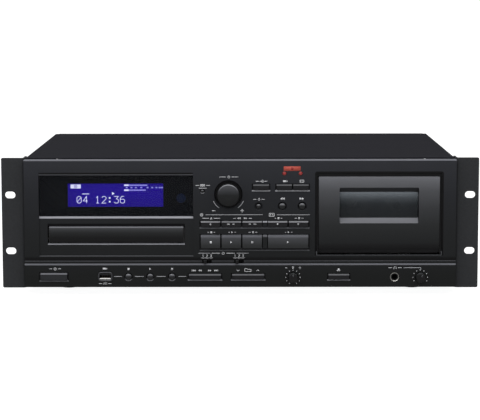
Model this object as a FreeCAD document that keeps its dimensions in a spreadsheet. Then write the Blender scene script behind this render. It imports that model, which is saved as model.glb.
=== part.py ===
"""Rack-mounted cd and cassette deck, three rack units high, as separate pieces in one document.

Lengths are in millimetres. X runs to the viewer's right, Y from the front to the back and Z up.
The origin is under the middle of the body, on the surface that the feet stand on. Heights given
to up() count from the lower edge of the rack ears, and depths given to back() count from the
front plane of the ears, because a rack unit is measured from there.
"""
import FreeCAD, Part
import math
import os
import sys

import Sketcher

SIZES = {
    # rack ears and the outside of the body
    "rack_width": 482.6,
    "ear_height": 132.5,
    "body_width": 435.0,
    "body_depth": 290.0,
    "foot_height": 5.5,
    "floor_lift": 0.5,
    "panel_proud": 10.0,
    "level_knob_proud": 11.0,
    "jack_reach": 8.0,
    "ear_sheet": 2.0,
    "ear_bend": 3.0,
    "ear_flange": 20.0,
    "ear_corner": 1.5,
    "slot_spread": 465.1,
    "slot_rise": 57.15,
    "slot_length": 10.5,
    "slot_height": 7.0,
    # sheet metal of the case
    "cover_sheet": 1.0,
    "cover_bend": 1.8,
    "cover_lip": 12.0,
    "relief_width": 4.0,
    "relief_depth": 3.0,
    "pan_sheet": 1.2,
    "pan_side": 24.0,
    "pan_flange": 5.0,
    "rear_sheet": 1.2,
    "rear_flange": 12.0,
    "vent_length": 36.0,
    "vent_width": 3.5,
    "vent_pitch": 12.0,
    "foot_radius": 11.0,
    "foot_inset": 40.0,
    "screw_radius": 1.5,
    "screw_length": 6.0,
    "screw_head_radius": 2.9,
    "screw_head": 1.8,
    # front panel shell
    "panel_low": 2.5,
    "panel_top_gap": 1.3,
    "panel_wall": 3.0,
    "top_bevel": 0.9,
    "strip_high": 24.9,
    "strip_bevel": 2.0,
    "strip_rise": 1.4,
    "ledge_high": 29.1,
    "ledge_bevel": 0.6,
    # display window and its module
    "frame_x": -124.9,
    "frame_width": 155.4,
    "frame_low": 34.3,
    "frame_high": 116.7,
    "frame_depth": 0.8,
    "window_low": 73.9,
    "window_high": 116.4,
    "window_bevel": 1.8,
    "window_sheet": 2.0,
    "window_edge": 0.9,
    "window_rim": 1.5,
    "window_border": 4.0,
    "screen_x": -125.7,
    "screen_up": 95.1,
    "screen_width": 96.4,
    "screen_height": 23.9,
    "screen_depth": 8.0,
    "sensor_x": -59.5,
    "sensor_up": 92.0,
    "sensor_radius": 4.9,
    # disc tray and its loader
    "tray_gap_side": 1.7,
    "tray_gap_low": 0.9,
    "tray_gap_high": 3.0,
    "tray_low": 47.9,
    "tray_high": 63.7,
    "tray_width": 135.0,
    "tray_inset": 0.5,
    "tray_front_sheet": 3.2,
    "tray_edge": 1.1,
    "tray_bevel": 1.6,
    "drawer_width": 131.0,
    "drawer_low": 50.0,
    "drawer_high": 60.0,
    "drawer_plate": 6.0,
    "drawer_skirt": 2.0,
    "drawer_depth": 168.0,
    "disc_radius": 60.8,
    "disc_depth": 3.0,
    "small_disc_radius": 40.6,
    "small_disc_depth": 1.2,
    "disc_back": 58.0,
    "drawer_slot_width": 38.0,
    "drawer_slot_reach": 52.0,
    "loader_wall": 3.0,
    "loader_floor": 34.0,
    "loader_back": 190.0,
    "loader_lip": 2.2,
    "bridge_width": 26.0,
    "clamp_radius": 17.0,
    "motor_radius": 12.0,
    "platter_radius": 15.0,
    "cone_radius": 7.4,
    "spindle_shaft": 1.0,
    "sled_width": 36.0,
    "sled_length": 30.0,
    "sled_gap": 22.0,
    "sled_travel": 35.0,
    "rod_spread": 28.0,
    "rod_radius": 1.5,
    # keys
    "key_gap": 0.4,
    "key_lip": 1.2,
    "key_travel": 1.0,
    "key_proud": 1.6,
    "key_slope": 1.3,
    "key_stem": 4.0,
    "well_depth": 1.2,
    "well_margin": 1.3,
    "board_back": 5.0,
    "board_sheet": 1.6,
    "switch_height": 3.5,
    "switch_side": 6.0,
    "disc_key_x": -29.8,
    "tape_key_x": 37.9,
    "key_pitch": 21.0,
    "key_width": 19.5,
    "divider_x": 25.1,
    "divider_width": 4.3,
    "thin_low": 63.6,
    "thin_high": 69.4,
    "wide_low": 41.9,
    "wide_high": 55.5,
    "wide_round": 3.6,
    "wide_drop": 1.7,
    "wide_proud": 2.4,
    "source_x": 21.2,
    "record_x": 44.5,
    "record_pitch": 16.7,
    "record_key_width": 15.4,
    "record_low": 101.3,
    "record_high": 106.6,
    "bar_low": 10.9,
    "bar_high": 15.9,
    "power_x": -188.0,
    "power_width": 27.0,
    "power_low": 10.0,
    "power_high": 16.9,
    "skip_x": -35.5,
    "folder_x": 8.1,
    "rocker_width": 32.2,
    "rocker_pivot": 1.2,
    "eject_x": 99.5,
    "eject_width": 20.8,
    # round buttons and knobs
    "button_radius": 3.1,
    "button_proud": 1.0,
    "dish_depth": 1.4,
    "dish_radius": 4.75,
    "repeat_radius": 2.2,
    "repeat_dish": 4.4,
    "repeat_x": 18.6,
    "wind_x": 42.5,
    "wind_pitch": 20.0,
    "wind_up": 84.3,
    "reset_gap": 9.4,
    "reset_up": 99.7,
    "reset_radius": 1.4,
    "reset_dish": 2.5,
    "player_x": -112.7,
    "player_pitch": 21.95,
    "player_up": 12.9,
    "knob_x": -11.7,
    "knob_up": 96.5,
    "knob_radius": 11.6,
    "knob_edge": 1.0,
    "knob_dish": 14.3,
    "knob_dish_depth": 2.2,
    "knob_shaft": 3.0,
    "pitch_x": 53.4,
    "phones_knob_x": 181.8,
    "small_knob_up": 12.4,
    "small_knob_radius": 4.8,
    "small_knob_proud": 7.0,
    "small_shaft": 2.0,
    "bush_wall": 1.6,
    # start switches, lamps and sockets
    "slide_x": -33.4,
    "slide_pitch": 32.3,
    "slide_up": 28.0,
    "slide_width": 9.9,
    "slide_height": 3.6,
    "slide_step": 2.0,
    "lever_width": 2.9,
    "lever_proud": 3.5,
    "lamp_x": 44.7,
    "lamp_pitch": 16.2,
    "lamp_share": 0.447,
    "lamp_radius": 2.0,
    "socket_x": -136.3,
    "socket_up": 13.6,
    "socket_width": 13.2,
    "socket_height": 5.8,
    "socket_side": 0.6,
    "socket_rim": 1.7,
    "socket_sheet": 0.4,
    "socket_depth": 14.0,
    "jack_x": 155.8,
    "jack_up": 12.7,
    "jack_bore": 3.2,
    "jack_ring": 4.65,
    "jack_depth": 30.0,
    # cassette door, holder and tape transport
    "door_x": 140.1,
    "door_width": 121.6,
    "door_gap": 2.3,
    "door_high": 114.1,
    "door_gap_high": 3.8,
    "door_opening_low": 34.4,
    "door_inset": 1.0,
    "door_wall": 2.5,
    "door_side": 2.0,
    "door_corner": 0.8,
    "hinge_up": 45.6,
    "hinge_radius": 11.2,
    "hinge_pin": 2.0,
    "lip_angle": 70.0,
    "pane_width": 79.8,
    "sill_low": 66.9,
    "sill_high": 103.0,
    "pane_low": 71.7,
    "pane_high": 98.0,
    "pane_depth": 6.0,
    "pane_sheet": 1.2,
    "pane_border": 2.5,
    "pane_corner": 1.3,
    "holder_sheet": 0.8,
    "cassette_width": 100.4,
    "cassette_height": 63.8,
    "cassette_thick": 12.0,
    "cassette_play": 0.6,
    "holder_high": 100.0,
    "holder_lip": 4.0,
    "deck_back": 15.5,
    "deck_sheet": 1.5,
    "deck_high": 116.0,
    "reel_spread": 42.5,
    "reel_up": 34.0,
    "reel_disc": 11.0,
    "reel_hub": 3.6,
    "reel_fin": 4.8,
    "reel_fin_sheet": 1.0,
    "reel_tip": 3.6,
    "capstan_spread": 44.0,
    "capstan_up": 6.2,
    "capstan_radius": 1.0,
    "flywheel_radius": 19.0,
    "flywheel_sheet": 4.0,
    "roller_radius": 5.0,
    "head_travel": 6.0,
    "head_width": 14.0,
    "guide_spread": 60.0,
    "guide_up": 34.0,
    # boards, supply and rear sockets
    "standoff": 6.0,
    "supply_x": -165.0,
    "supply_back": 240.0,
    "supply_width": 88.0,
    "supply_depth": 74.0,
    "main_x": 84.0,
    "main_back": 178.0,
    "main_width": 236.0,
    "main_depth": 170.0,
    "can_radius": 6.0,
    "can_height": 20.0,
    "can_pitch": 34.0,
    "chip_side": 22.0,
    "chip_height": 2.0,
    "plug_length": 40.0,
    "plug_width": 8.0,
    "plug_height": 9.0,
    "core_width": 50.0,
    "core_depth": 42.0,
    "core_height": 30.0,
    "coil_proud": 4.0,
    "main_can_radius": 8.0,
    "main_can_height": 26.0,
    "main_can_pitch": 22.0,
    "sink_width": 36.0,
    "sink_height": 28.0,
    "sink_fin": 7.0,
    "line_x": 20.0,
    "line_pitch": 34.0,
    "line_low": 24.0,
    "line_rise": 14.0,
    "line_radius": 4.15,
    "inlet_x": -176.0,
    "inlet_up": 36.0,
    "inlet_width": 27.0,
    "inlet_height": 19.8,
    "inlet_flange": 2.4,
    "inlet_depth": 16.0,
    # fits
    "fit_gap": 0.3,
    "run_gap": 0.05,
}

TINY = 1e-6
SHAPES_PER_SKETCH = 6

doc = FreeCAD.newDocument("cd_cassette_deck")
sheet = doc.addObject("Spreadsheet::Sheet", "sizes")
sheet.Label = "sizes"
for row, (alias, number) in enumerate(SIZES.items(), 1):
    sheet.set(f"A{row}", alias)
    sheet.set(f"B{row}", str(number))
    sheet.setAlias(f"B{row}", alias)
doc.recompute()


class Measure:
    """A number that also knows the expression which gives it from the sheet."""

    def __init__(self, value, text):
        self.value = value
        self.text = text

    def join(self, sign, other, value):
        return Measure(value, f"({self.text} {sign} {other.text})")

    def __add__(self, other):
        other = measure(other)
        return self.join("+", other, self.value + other.value)

    def __sub__(self, other):
        other = measure(other)
        return self.join("-", other, self.value - other.value)

    def __mul__(self, other):
        other = measure(other)
        return self.join("*", other, self.value * other.value)

    def __truediv__(self, other):
        other = measure(other)
        return self.join("/", other, self.value / other.value)

    def __radd__(self, other):
        return measure(other) + self

    def __rsub__(self, other):
        return measure(other) - self

    def __rmul__(self, other):
        return measure(other) * self

    def __neg__(self):
        return measure(-1) * self


def measure(thing):
    """Any plain number as a Measure; a Measure stays as it is."""
    if isinstance(thing, Measure):
        return thing
    return Measure(float(thing), f"({thing})")


class Sheet:
    """The sheet's cells by name, each one a Measure."""

    def __getattr__(self, name):
        return Measure(float(sheet.get(name)), f"sizes.{name}")


s = Sheet()

FRONT = (s.panel_proud + s.level_knob_proud - s.body_depth - s.jack_reach) / 2
FACE = FRONT - s.panel_proud
STRIP = FACE - s.strip_bevel - s.ledge_bevel
HALF = s.body_width / 2


def up(height):
    """The Z of a height above the lower edge of the rack ears."""
    return s.foot_height + height


def back(depth):
    """The Y of a depth behind the front plane of the rack ears."""
    return FRONT + depth


def bind(thing, name, value):
    """Ties one property of an object to the sheet."""
    thing.setExpression(name, measure(value).text)


def origin_plane(body, role):
    """One of a body's own origin planes."""
    return next(feature for feature in body.Origin.OriginFeatures if feature.Role == role)


def straight(axis, **places):
    """A test that an edge is straight along one axis and lies at the given places."""

    def test(box):
        for name in "XYZ":
            reach = getattr(box, name + "Length")
            if (reach < TINY) == (name == axis):
                return False
        for name, wanted in places.items():
            low = getattr(box, name + "Min")
            if all(abs(low - measure(place).value) > 1e-4 for place in wanted):
                return False
        return True

    return test


class Piece:
    """One PartDesign body, built feature by feature, whose label names its file."""

    # a sketch plane's own axes in the model: across, upward, and along its normal
    PLANES = {"XY": "XY_Plane", "XZ": "XZ_Plane", "YZ": "YZ_Plane"}

    def __init__(self, label):
        self.body = doc.addObject("PartDesign::Body", label)
        self.body.Label = label
        self.count = 0

    def new(self, kind, name):
        self.count += 1
        feature = self.body.newObject(kind, f"{self.body.Name}_{name}_{self.count}")
        if hasattr(feature, "Refine"):
            feature.Refine = False
        return feature

    def attach(self, feature, plane, level, across=0, upward=0):
        """Puts a feature on an origin plane, moved to a level along the model's own axis."""
        feature.AttachmentSupport = [(origin_plane(self.body, self.PLANES[plane]), "")]
        feature.MapMode = "FlatFace"
        bind(feature, "AttachmentOffset.Base.x", across)
        bind(feature, "AttachmentOffset.Base.y", upward)
        bind(feature, "AttachmentOffset.Base.z", -measure(level) if plane == "XZ" else level)

    def sketch(self, plane, level=0, across=0, upward=0):
        """A sketch on an origin plane, at a level along the model's axis."""
        sketch = self.new("Sketcher::SketchObject", "sketch")
        self.attach(sketch, plane, level, across, upward)
        return sketch

    def sweep(self, kind, sketch, length, both_ways=False, turned=False):
        """A Pad or Pocket of a sketch."""
        feature = self.new("PartDesign::" + kind, kind.lower())
        feature.Profile = (sketch, [""])
        feature.SideType = "Symmetric" if both_ways else "One side"
        feature.Reversed = turned
        bind(feature, "Length", length)
        sketch.Visibility = False
        return feature

    def box(self, kind, low, high):
        """A Pad or Pocket of a rectangle, from its lowest to its highest corner."""
        sketch = self.sketch("XY", low[2])
        rectangle(sketch, low[0], high[0], low[1], high[1])
        return self.sweep(kind, sketch, measure(high[2]) - low[2], turned=kind == "Pocket")

    def side_profile(self, kind, points, middle, width):
        """A Pad or Pocket of a side view, whose points are (Y, Z), across a width."""
        sketch = self.sketch("YZ", middle)
        outline(sketch, points)
        return self.sweep(kind, sketch, width, both_ways=True)

    def spin(self, kind, sketch, axis, angle=360, turned=False):
        """A Revolution or Groove of a sketch about one of its own axes."""
        feature = self.new("PartDesign::" + kind, kind.lower())
        feature.Profile = (sketch, [""])
        feature.ReferenceAxis = (sketch, [axis])
        feature.Reversed = turned
        bind(feature, "Angle", angle)
        sketch.Visibility = False
        return feature

    def turned(self, kind, x, z, points):
        """A Revolution or Groove about an axis along Y, of points given as (Y, radius)."""
        sketch = self.sketch("YZ", x, 0, z)
        outline(sketch, points)
        return self.spin(kind, sketch, "H_Axis")

    def extrude(self, kind, plane, low, high, shapes):
        """Pads or pockets of drawn shapes between two levels along the plane's own axis."""
        from_low = (kind == "Pad") != (plane == "XZ")
        for first in range(0, len(shapes), SHAPES_PER_SKETCH):
            sketch = self.sketch(plane, low if from_low else high)
            for draw, *places in shapes[first:first + SHAPES_PER_SKETCH]:
                draw(sketch, *places)
            self.sweep(kind, sketch, measure(high) - low)

    def rod(self, kind, plane, level, across, upward, radius, length):
        """An additive or subtractive cylinder; on XZ it runs from its level to the front."""
        feature = self.new(f"PartDesign::{kind}Cylinder", "rod")
        self.attach(feature, plane, level, across, upward)
        bind(feature, "Radius", radius)
        bind(feature, "Height", length)
        return feature

    def soften(self, kind, size, *tests):
        """A Fillet or Chamfer on every edge that passes one of the tests."""
        doc.recompute()
        base = self.body.Tip
        edges = enumerate(base.Shape.Edges, 1)
        names = [f"Edge{n}" for n, edge in edges if any(test(edge.BoundBox) for test in tests)]
        feature = self.new("PartDesign::" + kind, kind.lower())
        feature.Base = (base, names)
        bind(feature, "Radius" if kind == "Fillet" else "Size", size)
        return feature


def outline(sketch, points):
    """A closed run of straight edges whose corners are held at measured places."""
    first = sketch.GeometryCount
    places = [(measure(a), measure(b)) for a, b in points]
    corners = [FreeCAD.Vector(a.value, b.value, 0) for a, b in places]
    total = len(corners)
    for n in range(total):
        sketch.addGeometry(Part.LineSegment(corners[n], corners[(n + 1) % total]), False)
    for n in range(total):
        follower = first + (n + 1) % total
        sketch.addConstraint(Sketcher.Constraint("Coincident", first + n, 2, follower, 1))
    for n, place in enumerate(places):
        hold(sketch, first + n, 1, place)


def hold(sketch, edge, point, place):
    """Holds a point of a sketch at its measured distances from the origin."""
    for kind, value in zip(("DistanceX", "DistanceY"), place):
        number = sketch.addConstraint(Sketcher.Constraint(kind, -1, 1, edge, point, value.value))
        bind(sketch, f"Constraints[{number}]", value)


def rectangle(sketch, left, right, low, high):
    """A rectangle between measured places."""
    outline(sketch, [(left, low), (right, low), (right, high), (left, high)])


def circle(sketch, across, upward, radius):
    """A circle with a measured centre and radius."""
    across, upward, radius = measure(across), measure(upward), measure(radius)
    centre = FreeCAD.Vector(across.value, upward.value, 0)
    normal = FreeCAD.Vector(0, 0, 1)
    edge = sketch.addGeometry(Part.Circle(centre, normal, radius.value), False)
    hold(sketch, edge, 3, (across, upward))
    number = sketch.addConstraint(Sketcher.Constraint("Radius", edge, radius.value))
    bind(sketch, f"Constraints[{number}]", radius)


# Case

CASE_SCREW_BACK = (s.body_depth * 0.25, s.body_depth * 0.75)
EAR_SCREW_UP = (s.ear_height * 0.15, s.ear_height * 0.5, s.ear_height * 0.85)
SIDE_SCREW_UP = s.pan_side / 2
LIP_SCREW_X = (s.body_width * -0.4, measure(0), s.body_width * 0.4)
SCREW_HOLE = s.screw_radius + 0.1
PAN_HALF = HALF - s.cover_sheet
PAN_LOW = up(s.floor_lift)
PAN_TOP = PAN_LOW + s.pan_sheet
CASE_BACK = back(s.body_depth)
REAR_OUT = CASE_BACK - s.cover_sheet
REAR_IN = REAR_OUT - s.rear_sheet
COVER_TOP = up(s.ear_height)


def board_corners(x, depth, width, length):
    """The four standoff places of a board, given as (X, Y)."""
    inset = 6
    return [(x + sign * (width / 2 - inset), back(depth + other * (length / 2 - inset)))
            for sign in (-1, 1) for other in (-1, 1)]


def make_chassis_pan():
    """The folded steel floor with its two sides, front flange, bosses and vents."""
    pan = Piece("chassis_pan")
    sketch = pan.sketch("XZ", REAR_IN)
    inner = PAN_HALF - s.pan_sheet
    high = PAN_LOW + s.pan_side
    outline(sketch, [(-PAN_HALF, PAN_LOW), (PAN_HALF, PAN_LOW), (PAN_HALF, high), (inner, high),
                     (inner, PAN_TOP), (-inner, PAN_TOP), (-inner, high), (-PAN_HALF, high)])
    pan.sweep("Pad", sketch, REAR_IN - FRONT)
    pan.box("Pad", (-inner, FRONT, PAN_TOP), (inner, FRONT + s.pan_sheet, PAN_LOW + s.pan_flange))
    main = board_corners(s.main_x, s.main_back, s.main_width, s.main_depth)
    supply = board_corners(s.supply_x, s.supply_back, s.supply_width, s.supply_depth)
    pan.extrude("Pad", "XY", PAN_TOP, PAN_TOP + s.standoff, [(circle, x, y, 3) for x, y in main + supply])
    vent = back(s.main_back)
    vents = [(rectangle, x, x + s.vent_width, vent, vent + s.vent_length)
             for x in (s.vent_pitch * n - 90 for n in range(4))]
    pan.extrude("Pocket", "XY", PAN_LOW, PAN_TOP, vents)
    screws = [(back(depth), PAN_LOW + SIDE_SCREW_UP) for depth in CASE_SCREW_BACK]
    screws.append((EAR_SCREW_Y, up(EAR_SCREW_UP[0])))
    pan.extrude("Pocket", "YZ", -HALF, HALF, [(circle, y, z, SCREW_HOLE) for y, z in screws])


EAR_SCREW_Y = back(s.ear_flange * 0.6)
JACK_COLUMNS = [s.line_x + n * s.line_pitch for n in range(3)]


def make_rear_panel():
    """The steel rear wall with its holes for the line jacks and the mains inlet."""
    wall = Piece("rear_panel")
    wide = PAN_HALF - s.pan_sheet - s.fit_gap
    high = COVER_TOP - s.cover_sheet
    wall.box("Pad", (-wide, REAR_IN, PAN_TOP), (wide, REAR_OUT, high))
    wall.box("Pad", (-wide, REAR_IN - s.rear_flange, PAN_TOP), (wide, REAR_IN, PAN_TOP + s.rear_sheet))
    sketch = wall.sketch("XZ", REAR_IN)
    for x in JACK_COLUMNS:
        for up_step in range(2):
            circle(sketch, x, up(s.line_low + up_step * s.line_rise), s.line_radius + s.fit_gap)
    half_wide = s.inlet_width / 2 + s.fit_gap
    half_high = s.inlet_height / 2 + s.fit_gap
    rectangle(sketch, s.inlet_x - half_wide, s.inlet_x + half_wide, up(s.inlet_up) - half_high,
              up(s.inlet_up) + half_high)
    for x in LIP_SCREW_X:
        circle(sketch, x, COVER_TOP - s.cover_lip / 2, SCREW_HOLE)
    wall.sweep("Pocket", sketch, s.rear_sheet, turned=False)


def make_top_cover():
    """The bent steel cover: top, two sides, a lip over the rear wall and corner reliefs."""
    cover = Piece("top_cover")
    sketch = cover.sketch("XZ", CASE_BACK)
    inner = HALF - s.cover_sheet
    ceiling = COVER_TOP - s.cover_sheet
    outline(sketch, [(-HALF, PAN_LOW), (-inner, PAN_LOW), (-inner, ceiling), (inner, ceiling),
                     (inner, PAN_LOW), (HALF, PAN_LOW), (HALF, COVER_TOP), (-HALF, COVER_TOP)])
    cover.sweep("Pad", sketch, s.body_depth)
    cover.soften("Fillet", s.cover_bend, straight("Y", X=(-HALF, HALF), Z=(COVER_TOP,)))
    lip = inner - s.relief_width
    cover.box("Pad", (-lip, REAR_OUT, COVER_TOP - s.cover_lip), (lip, CASE_BACK, ceiling))
    for side in (-1, 1):
        edges = sorted((lip * side, HALF * side), key=lambda place: place.value)
        cover.box("Pocket", (edges[0], CASE_BACK - s.relief_depth, ceiling - s.cover_bend),
                  (edges[1], CASE_BACK, COVER_TOP))
    screws = [(back(depth), PAN_LOW + SIDE_SCREW_UP) for depth in CASE_SCREW_BACK]
    screws += [(EAR_SCREW_Y, up(height)) for height in EAR_SCREW_UP]
    cover.extrude("Pocket", "YZ", -HALF, HALF, [(circle, y, z, SCREW_HOLE) for y, z in screws])
    cover.extrude("Pocket", "XZ", REAR_OUT, CASE_BACK,
                  [(circle, x, COVER_TOP - s.cover_lip / 2, SCREW_HOLE) for x in LIP_SCREW_X])


def make_rack_ear(side):
    """A bent steel rack ear with two slots; side is -1 on the left and 1 on the right."""
    ear = Piece("rack_ear_left" if side < 0 else "rack_ear_right")
    outer = s.rack_width / 2 * side
    inner = HALF * side
    sketch = ear.sketch("XY", up(0))
    flange = (HALF + s.ear_sheet) * side
    outline(sketch, [
        (inner, FRONT), (outer, FRONT), (outer, FRONT + s.ear_sheet), (flange, FRONT + s.ear_sheet),
        (flange, back(s.ear_flange)), (inner, back(s.ear_flange))])
    ear.sweep("Pad", sketch, s.ear_height)
    ear.soften("Fillet", s.ear_bend, straight("Z", X=(inner,), Y=(FRONT,)))
    ear.soften("Fillet", s.ear_bend - s.ear_sheet, straight("Z", X=(flange,), Y=(FRONT + s.ear_sheet,)))
    ear.soften("Fillet", s.ear_corner, straight("Y", X=(outer,), Z=(up(0), COVER_TOP)))
    middle = s.slot_spread / 2 * side
    heights = [up(s.ear_height / 2) + s.slot_rise / 2 * rise for rise in (-1, 1)]
    ear.extrude("Pocket", "XZ", FRONT, FRONT + s.ear_sheet, [(slot, middle, height) for height in heights])
    low, high = sorted((inner, flange), key=lambda place: place.value)
    ear.extrude("Pocket", "YZ", low, high,
                [(circle, EAR_SCREW_Y, up(height), SCREW_HOLE) for height in EAR_SCREW_UP])


def slot(sketch, across, upward):
    """The outline of a rack slot: two straight edges and two half circles."""
    radius = s.slot_height / 2
    end = (s.slot_length - s.slot_height) / 2
    places = [(across + end, upward - radius), (across + end, upward + radius),
              (across - end, upward + radius), (across - end, upward - radius)]
    corners = [FreeCAD.Vector(a.value, b.value, 0) for a, b in places]
    normal = FreeCAD.Vector(0, 0, 1)
    first = sketch.GeometryCount
    for n, way in enumerate((1, -1)):
        centre = FreeCAD.Vector((across + end * way).value, upward.value, 0)
        round_end = Part.Circle(centre, normal, radius.value)
        start = -math.pi / 2 if way > 0 else math.pi / 2
        sketch.addGeometry(Part.ArcOfCircle(round_end, start, start + math.pi), False)
        sketch.addGeometry(Part.LineSegment(corners[n * 2 + 1], corners[(n * 2 + 2) % 4]), False)
    for n in range(4):
        sketch.addConstraint(Sketcher.Constraint("Coincident", first + n, 2, first + (n + 1) % 4, 1))
    for n in (0, 2):
        hold(sketch, first + n, 1, places[n])
        hold(sketch, first + n, 2, places[n + 1])
        centre = places[n][0]
        number = sketch.addConstraint(Sketcher.Constraint("DistanceX", -1, 1, first + n, 3, centre.value))
        bind(sketch, f"Constraints[{number}]", centre)


def make_feet():
    """Four round moulded feet under the floor."""
    feet = Piece("feet")
    for side in (-1, 1):
        for y in (back(s.foot_inset), CASE_BACK - s.foot_inset):
            x = (HALF - s.foot_inset) * side
            sketch = feet.sketch("XZ", y, x)
            outline(sketch, [(0, 0), (s.foot_radius - 2, 0), (s.foot_radius - 1, 1), (s.foot_radius, PAN_LOW),
                             (0, PAN_LOW)])
            feet.spin("Revolution", sketch, "V_Axis")


def make_case_screws():
    """The screws of the cover, the rear lip and the rack ears."""
    screws = Piece("case_screws")
    shank = s.screw_length
    side = [(back(depth), PAN_LOW + SIDE_SCREW_UP) for depth in CASE_SCREW_BACK]
    ears = [(EAR_SCREW_Y, up(height)) for height in EAR_SCREW_UP]
    for seat, places in ((HALF, side), (HALF + s.ear_sheet, ears)):
        shanks = [(circle, y, z, s.screw_radius) for y, z in places]
        heads = [(circle, y, z, s.screw_head_radius) for y, z in places]
        screws.extrude("Pad", "YZ", seat - shank, seat, shanks)
        screws.extrude("Pad", "YZ", seat, seat + s.screw_head, heads)
        screws.extrude("Pad", "YZ", -seat, shank - seat, shanks)
        screws.extrude("Pad", "YZ", -seat - s.screw_head, -seat, heads)
    places = [(x, COVER_TOP - s.cover_lip / 2) for x in LIP_SCREW_X]
    screws.extrude("Pad", "XZ", CASE_BACK - shank, CASE_BACK,
                   [(circle, x, z, s.screw_radius) for x, z in places])
    screws.extrude("Pad", "XZ", CASE_BACK, CASE_BACK + s.screw_head,
                   [(circle, x, z, s.screw_head_radius) for x, z in places])


# Front panel

PANEL_LOW = up(s.panel_low)
PANEL_HIGH = up(s.ear_height - s.panel_top_gap)
WALL_BACK = FACE + s.panel_wall
STRIP_WALL_BACK = STRIP + s.panel_wall
WINDOW_LOW = up(s.window_low)
WINDOW_HIGH = up(s.window_high)
WINDOW_FRONT = FACE + s.frame_depth + s.window_bevel
WINDOW_SEAT = WINDOW_FRONT + s.window_sheet
RIM_BACK = WINDOW_SEAT + s.window_rim
TRAY_LEFT = s.frame_x - s.tray_width / 2
TRAY_RIGHT = s.frame_x + s.tray_width / 2
DOOR_LEFT = s.door_x - s.door_width / 2
DOOR_RIGHT = s.door_x + s.door_width / 2
SLIDES = [s.slide_x + n * s.slide_pitch for n in range(2)]
LAMPS = [s.lamp_x + n * s.lamp_pitch for n in range(2)]
LAMP_HIGH = up(s.record_high) + (PANEL_HIGH - up(s.record_high)) * s.lamp_share
RESET_X = s.frame_x + s.frame_width / 2 + s.reset_gap
BOARD = back(s.board_back)
SWITCH_TOP = BOARD - s.switch_height
STEM_END = SWITCH_TOP - s.key_travel - s.fit_gap


class Key:
    """A moulded key with a sloping top edge: its place on the panel and its own sizes."""

    def __init__(self, label, x, width, low, high, face=FACE, rounded=None):
        self.label = label
        self.x = x
        self.width = width
        self.low = up(low)
        self.high = up(high)
        self.face = face
        self.rounded = rounded
        self.front = face - (s.key_proud if rounded is None else s.wide_proud)

    def make(self):
        """Cap, lip behind the panel and stem, as one moulding."""
        key = Piece(self.label)
        behind = self.face + s.panel_wall + s.fit_gap
        lip = behind + 1
        key.side_profile("Pad", self.cap(behind) + [
            (behind, self.high + s.key_lip), (lip, self.high + s.key_lip), (lip, self.low - s.key_lip),
            (behind, self.low - s.key_lip), (behind, self.low)], self.x, self.width)
        if self.rounded is not None:
            key.soften("Fillet", self.rounded, straight("X", Y=(self.front,), Z=(self.high,)))
        self.stem(key, lip)

    def cap(self, behind):
        """The side view of the cap's front and top, from its lower front corner."""
        if self.rounded is not None:
            return [(self.front, self.low), (self.front, self.high), (behind, self.high)]
        return [(self.front, self.low), (self.front, self.high - s.key_slope),
                (self.front + s.key_slope, self.high), (behind, self.high)]

    def stem(self, key, start):
        """The post that presses the switch on the key board."""
        middle = (self.low + self.high) / 2
        half = s.key_stem / 2
        key.box("Pad", (self.x - half, start, middle - half), (self.x + half, STEM_END, middle + half))


class RoundButton:
    """A domed push button in a dish: its place on the panel and its own sizes."""

    def __init__(self, label, x, height, radius, dish, face=FACE):
        self.label = label
        self.x = x
        self.z = up(height)
        self.radius = radius
        self.dish = dish
        self.face = face

    def make(self):
        """Domed cap, lip behind the panel and stem, turned about one axis."""
        button = Piece(self.label)
        front = self.face - s.button_proud
        behind = self.face + s.panel_wall + s.fit_gap
        lip = behind + 1
        rim = self.radius + s.key_lip
        stem = self.radius * 0.6
        radius = self.radius
        button.turned("Revolution", self.x, self.z, [
            (front, 0), (front + radius * 0.07, radius * 0.5), (front + radius * 0.2, radius * 0.8),
            (front + radius * 0.45, radius), (behind, radius), (behind, rim), (lip, rim), (lip, stem),
            (STEM_END, stem), (STEM_END, 0)])


class Rocker(Key):
    """A long key that rocks about an upright pivot behind the panel."""

    def make(self):
        rocker = Piece(self.label)
        front = self.front
        behind = self.face + s.panel_wall + s.fit_gap * 3
        rocker.side_profile("Pad", self.cap(behind) + [(behind, self.low)], self.x, self.width)
        groove = 0.5
        shoulder = front + s.key_slope + groove
        rocker.side_profile("Pocket", [
            (front - 1, self.low - 1), (front + groove, self.low - 1),
            (front + groove, self.high - s.key_slope), (shoulder, self.high), (shoulder, self.high + 1),
            (front - 1, self.high + 1)], self.x, groove)
        half = s.rocker_pivot * 2
        rocker.box("Pad", (self.x - half, behind, self.low),
                   (self.x + half, ROCKER_Y + s.rocker_pivot, self.high))
        reach = s.key_gap + ROCKER_LUG
        rocker.rod("Additive", "XY", self.low - reach, self.x, ROCKER_Y, s.rocker_pivot,
                   self.high - self.low + reach * 2)
        for side in (-1, 1):
            place = self.x + self.width / 3 * side
            middle = (self.low + self.high) / 2
            half = s.key_stem / 2
            rocker.box("Pad", (place - half, behind, middle - half), (place + half, STEM_END, middle + half))


ROCKER_Y = STRIP_WALL_BACK + s.fit_gap + s.rocker_pivot * 1.5
ROCKER_LUG = measure(2.0)

DISC_KEYS = [s.disc_key_x + n * s.key_pitch for n in range(3)]
TAPE_KEYS = [s.tape_key_x + n * s.key_pitch for n in range(2)]
TAPE_MIDDLE = s.tape_key_x + s.key_pitch / 2
TAPE_WIDE = s.key_width + s.key_pitch

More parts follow.
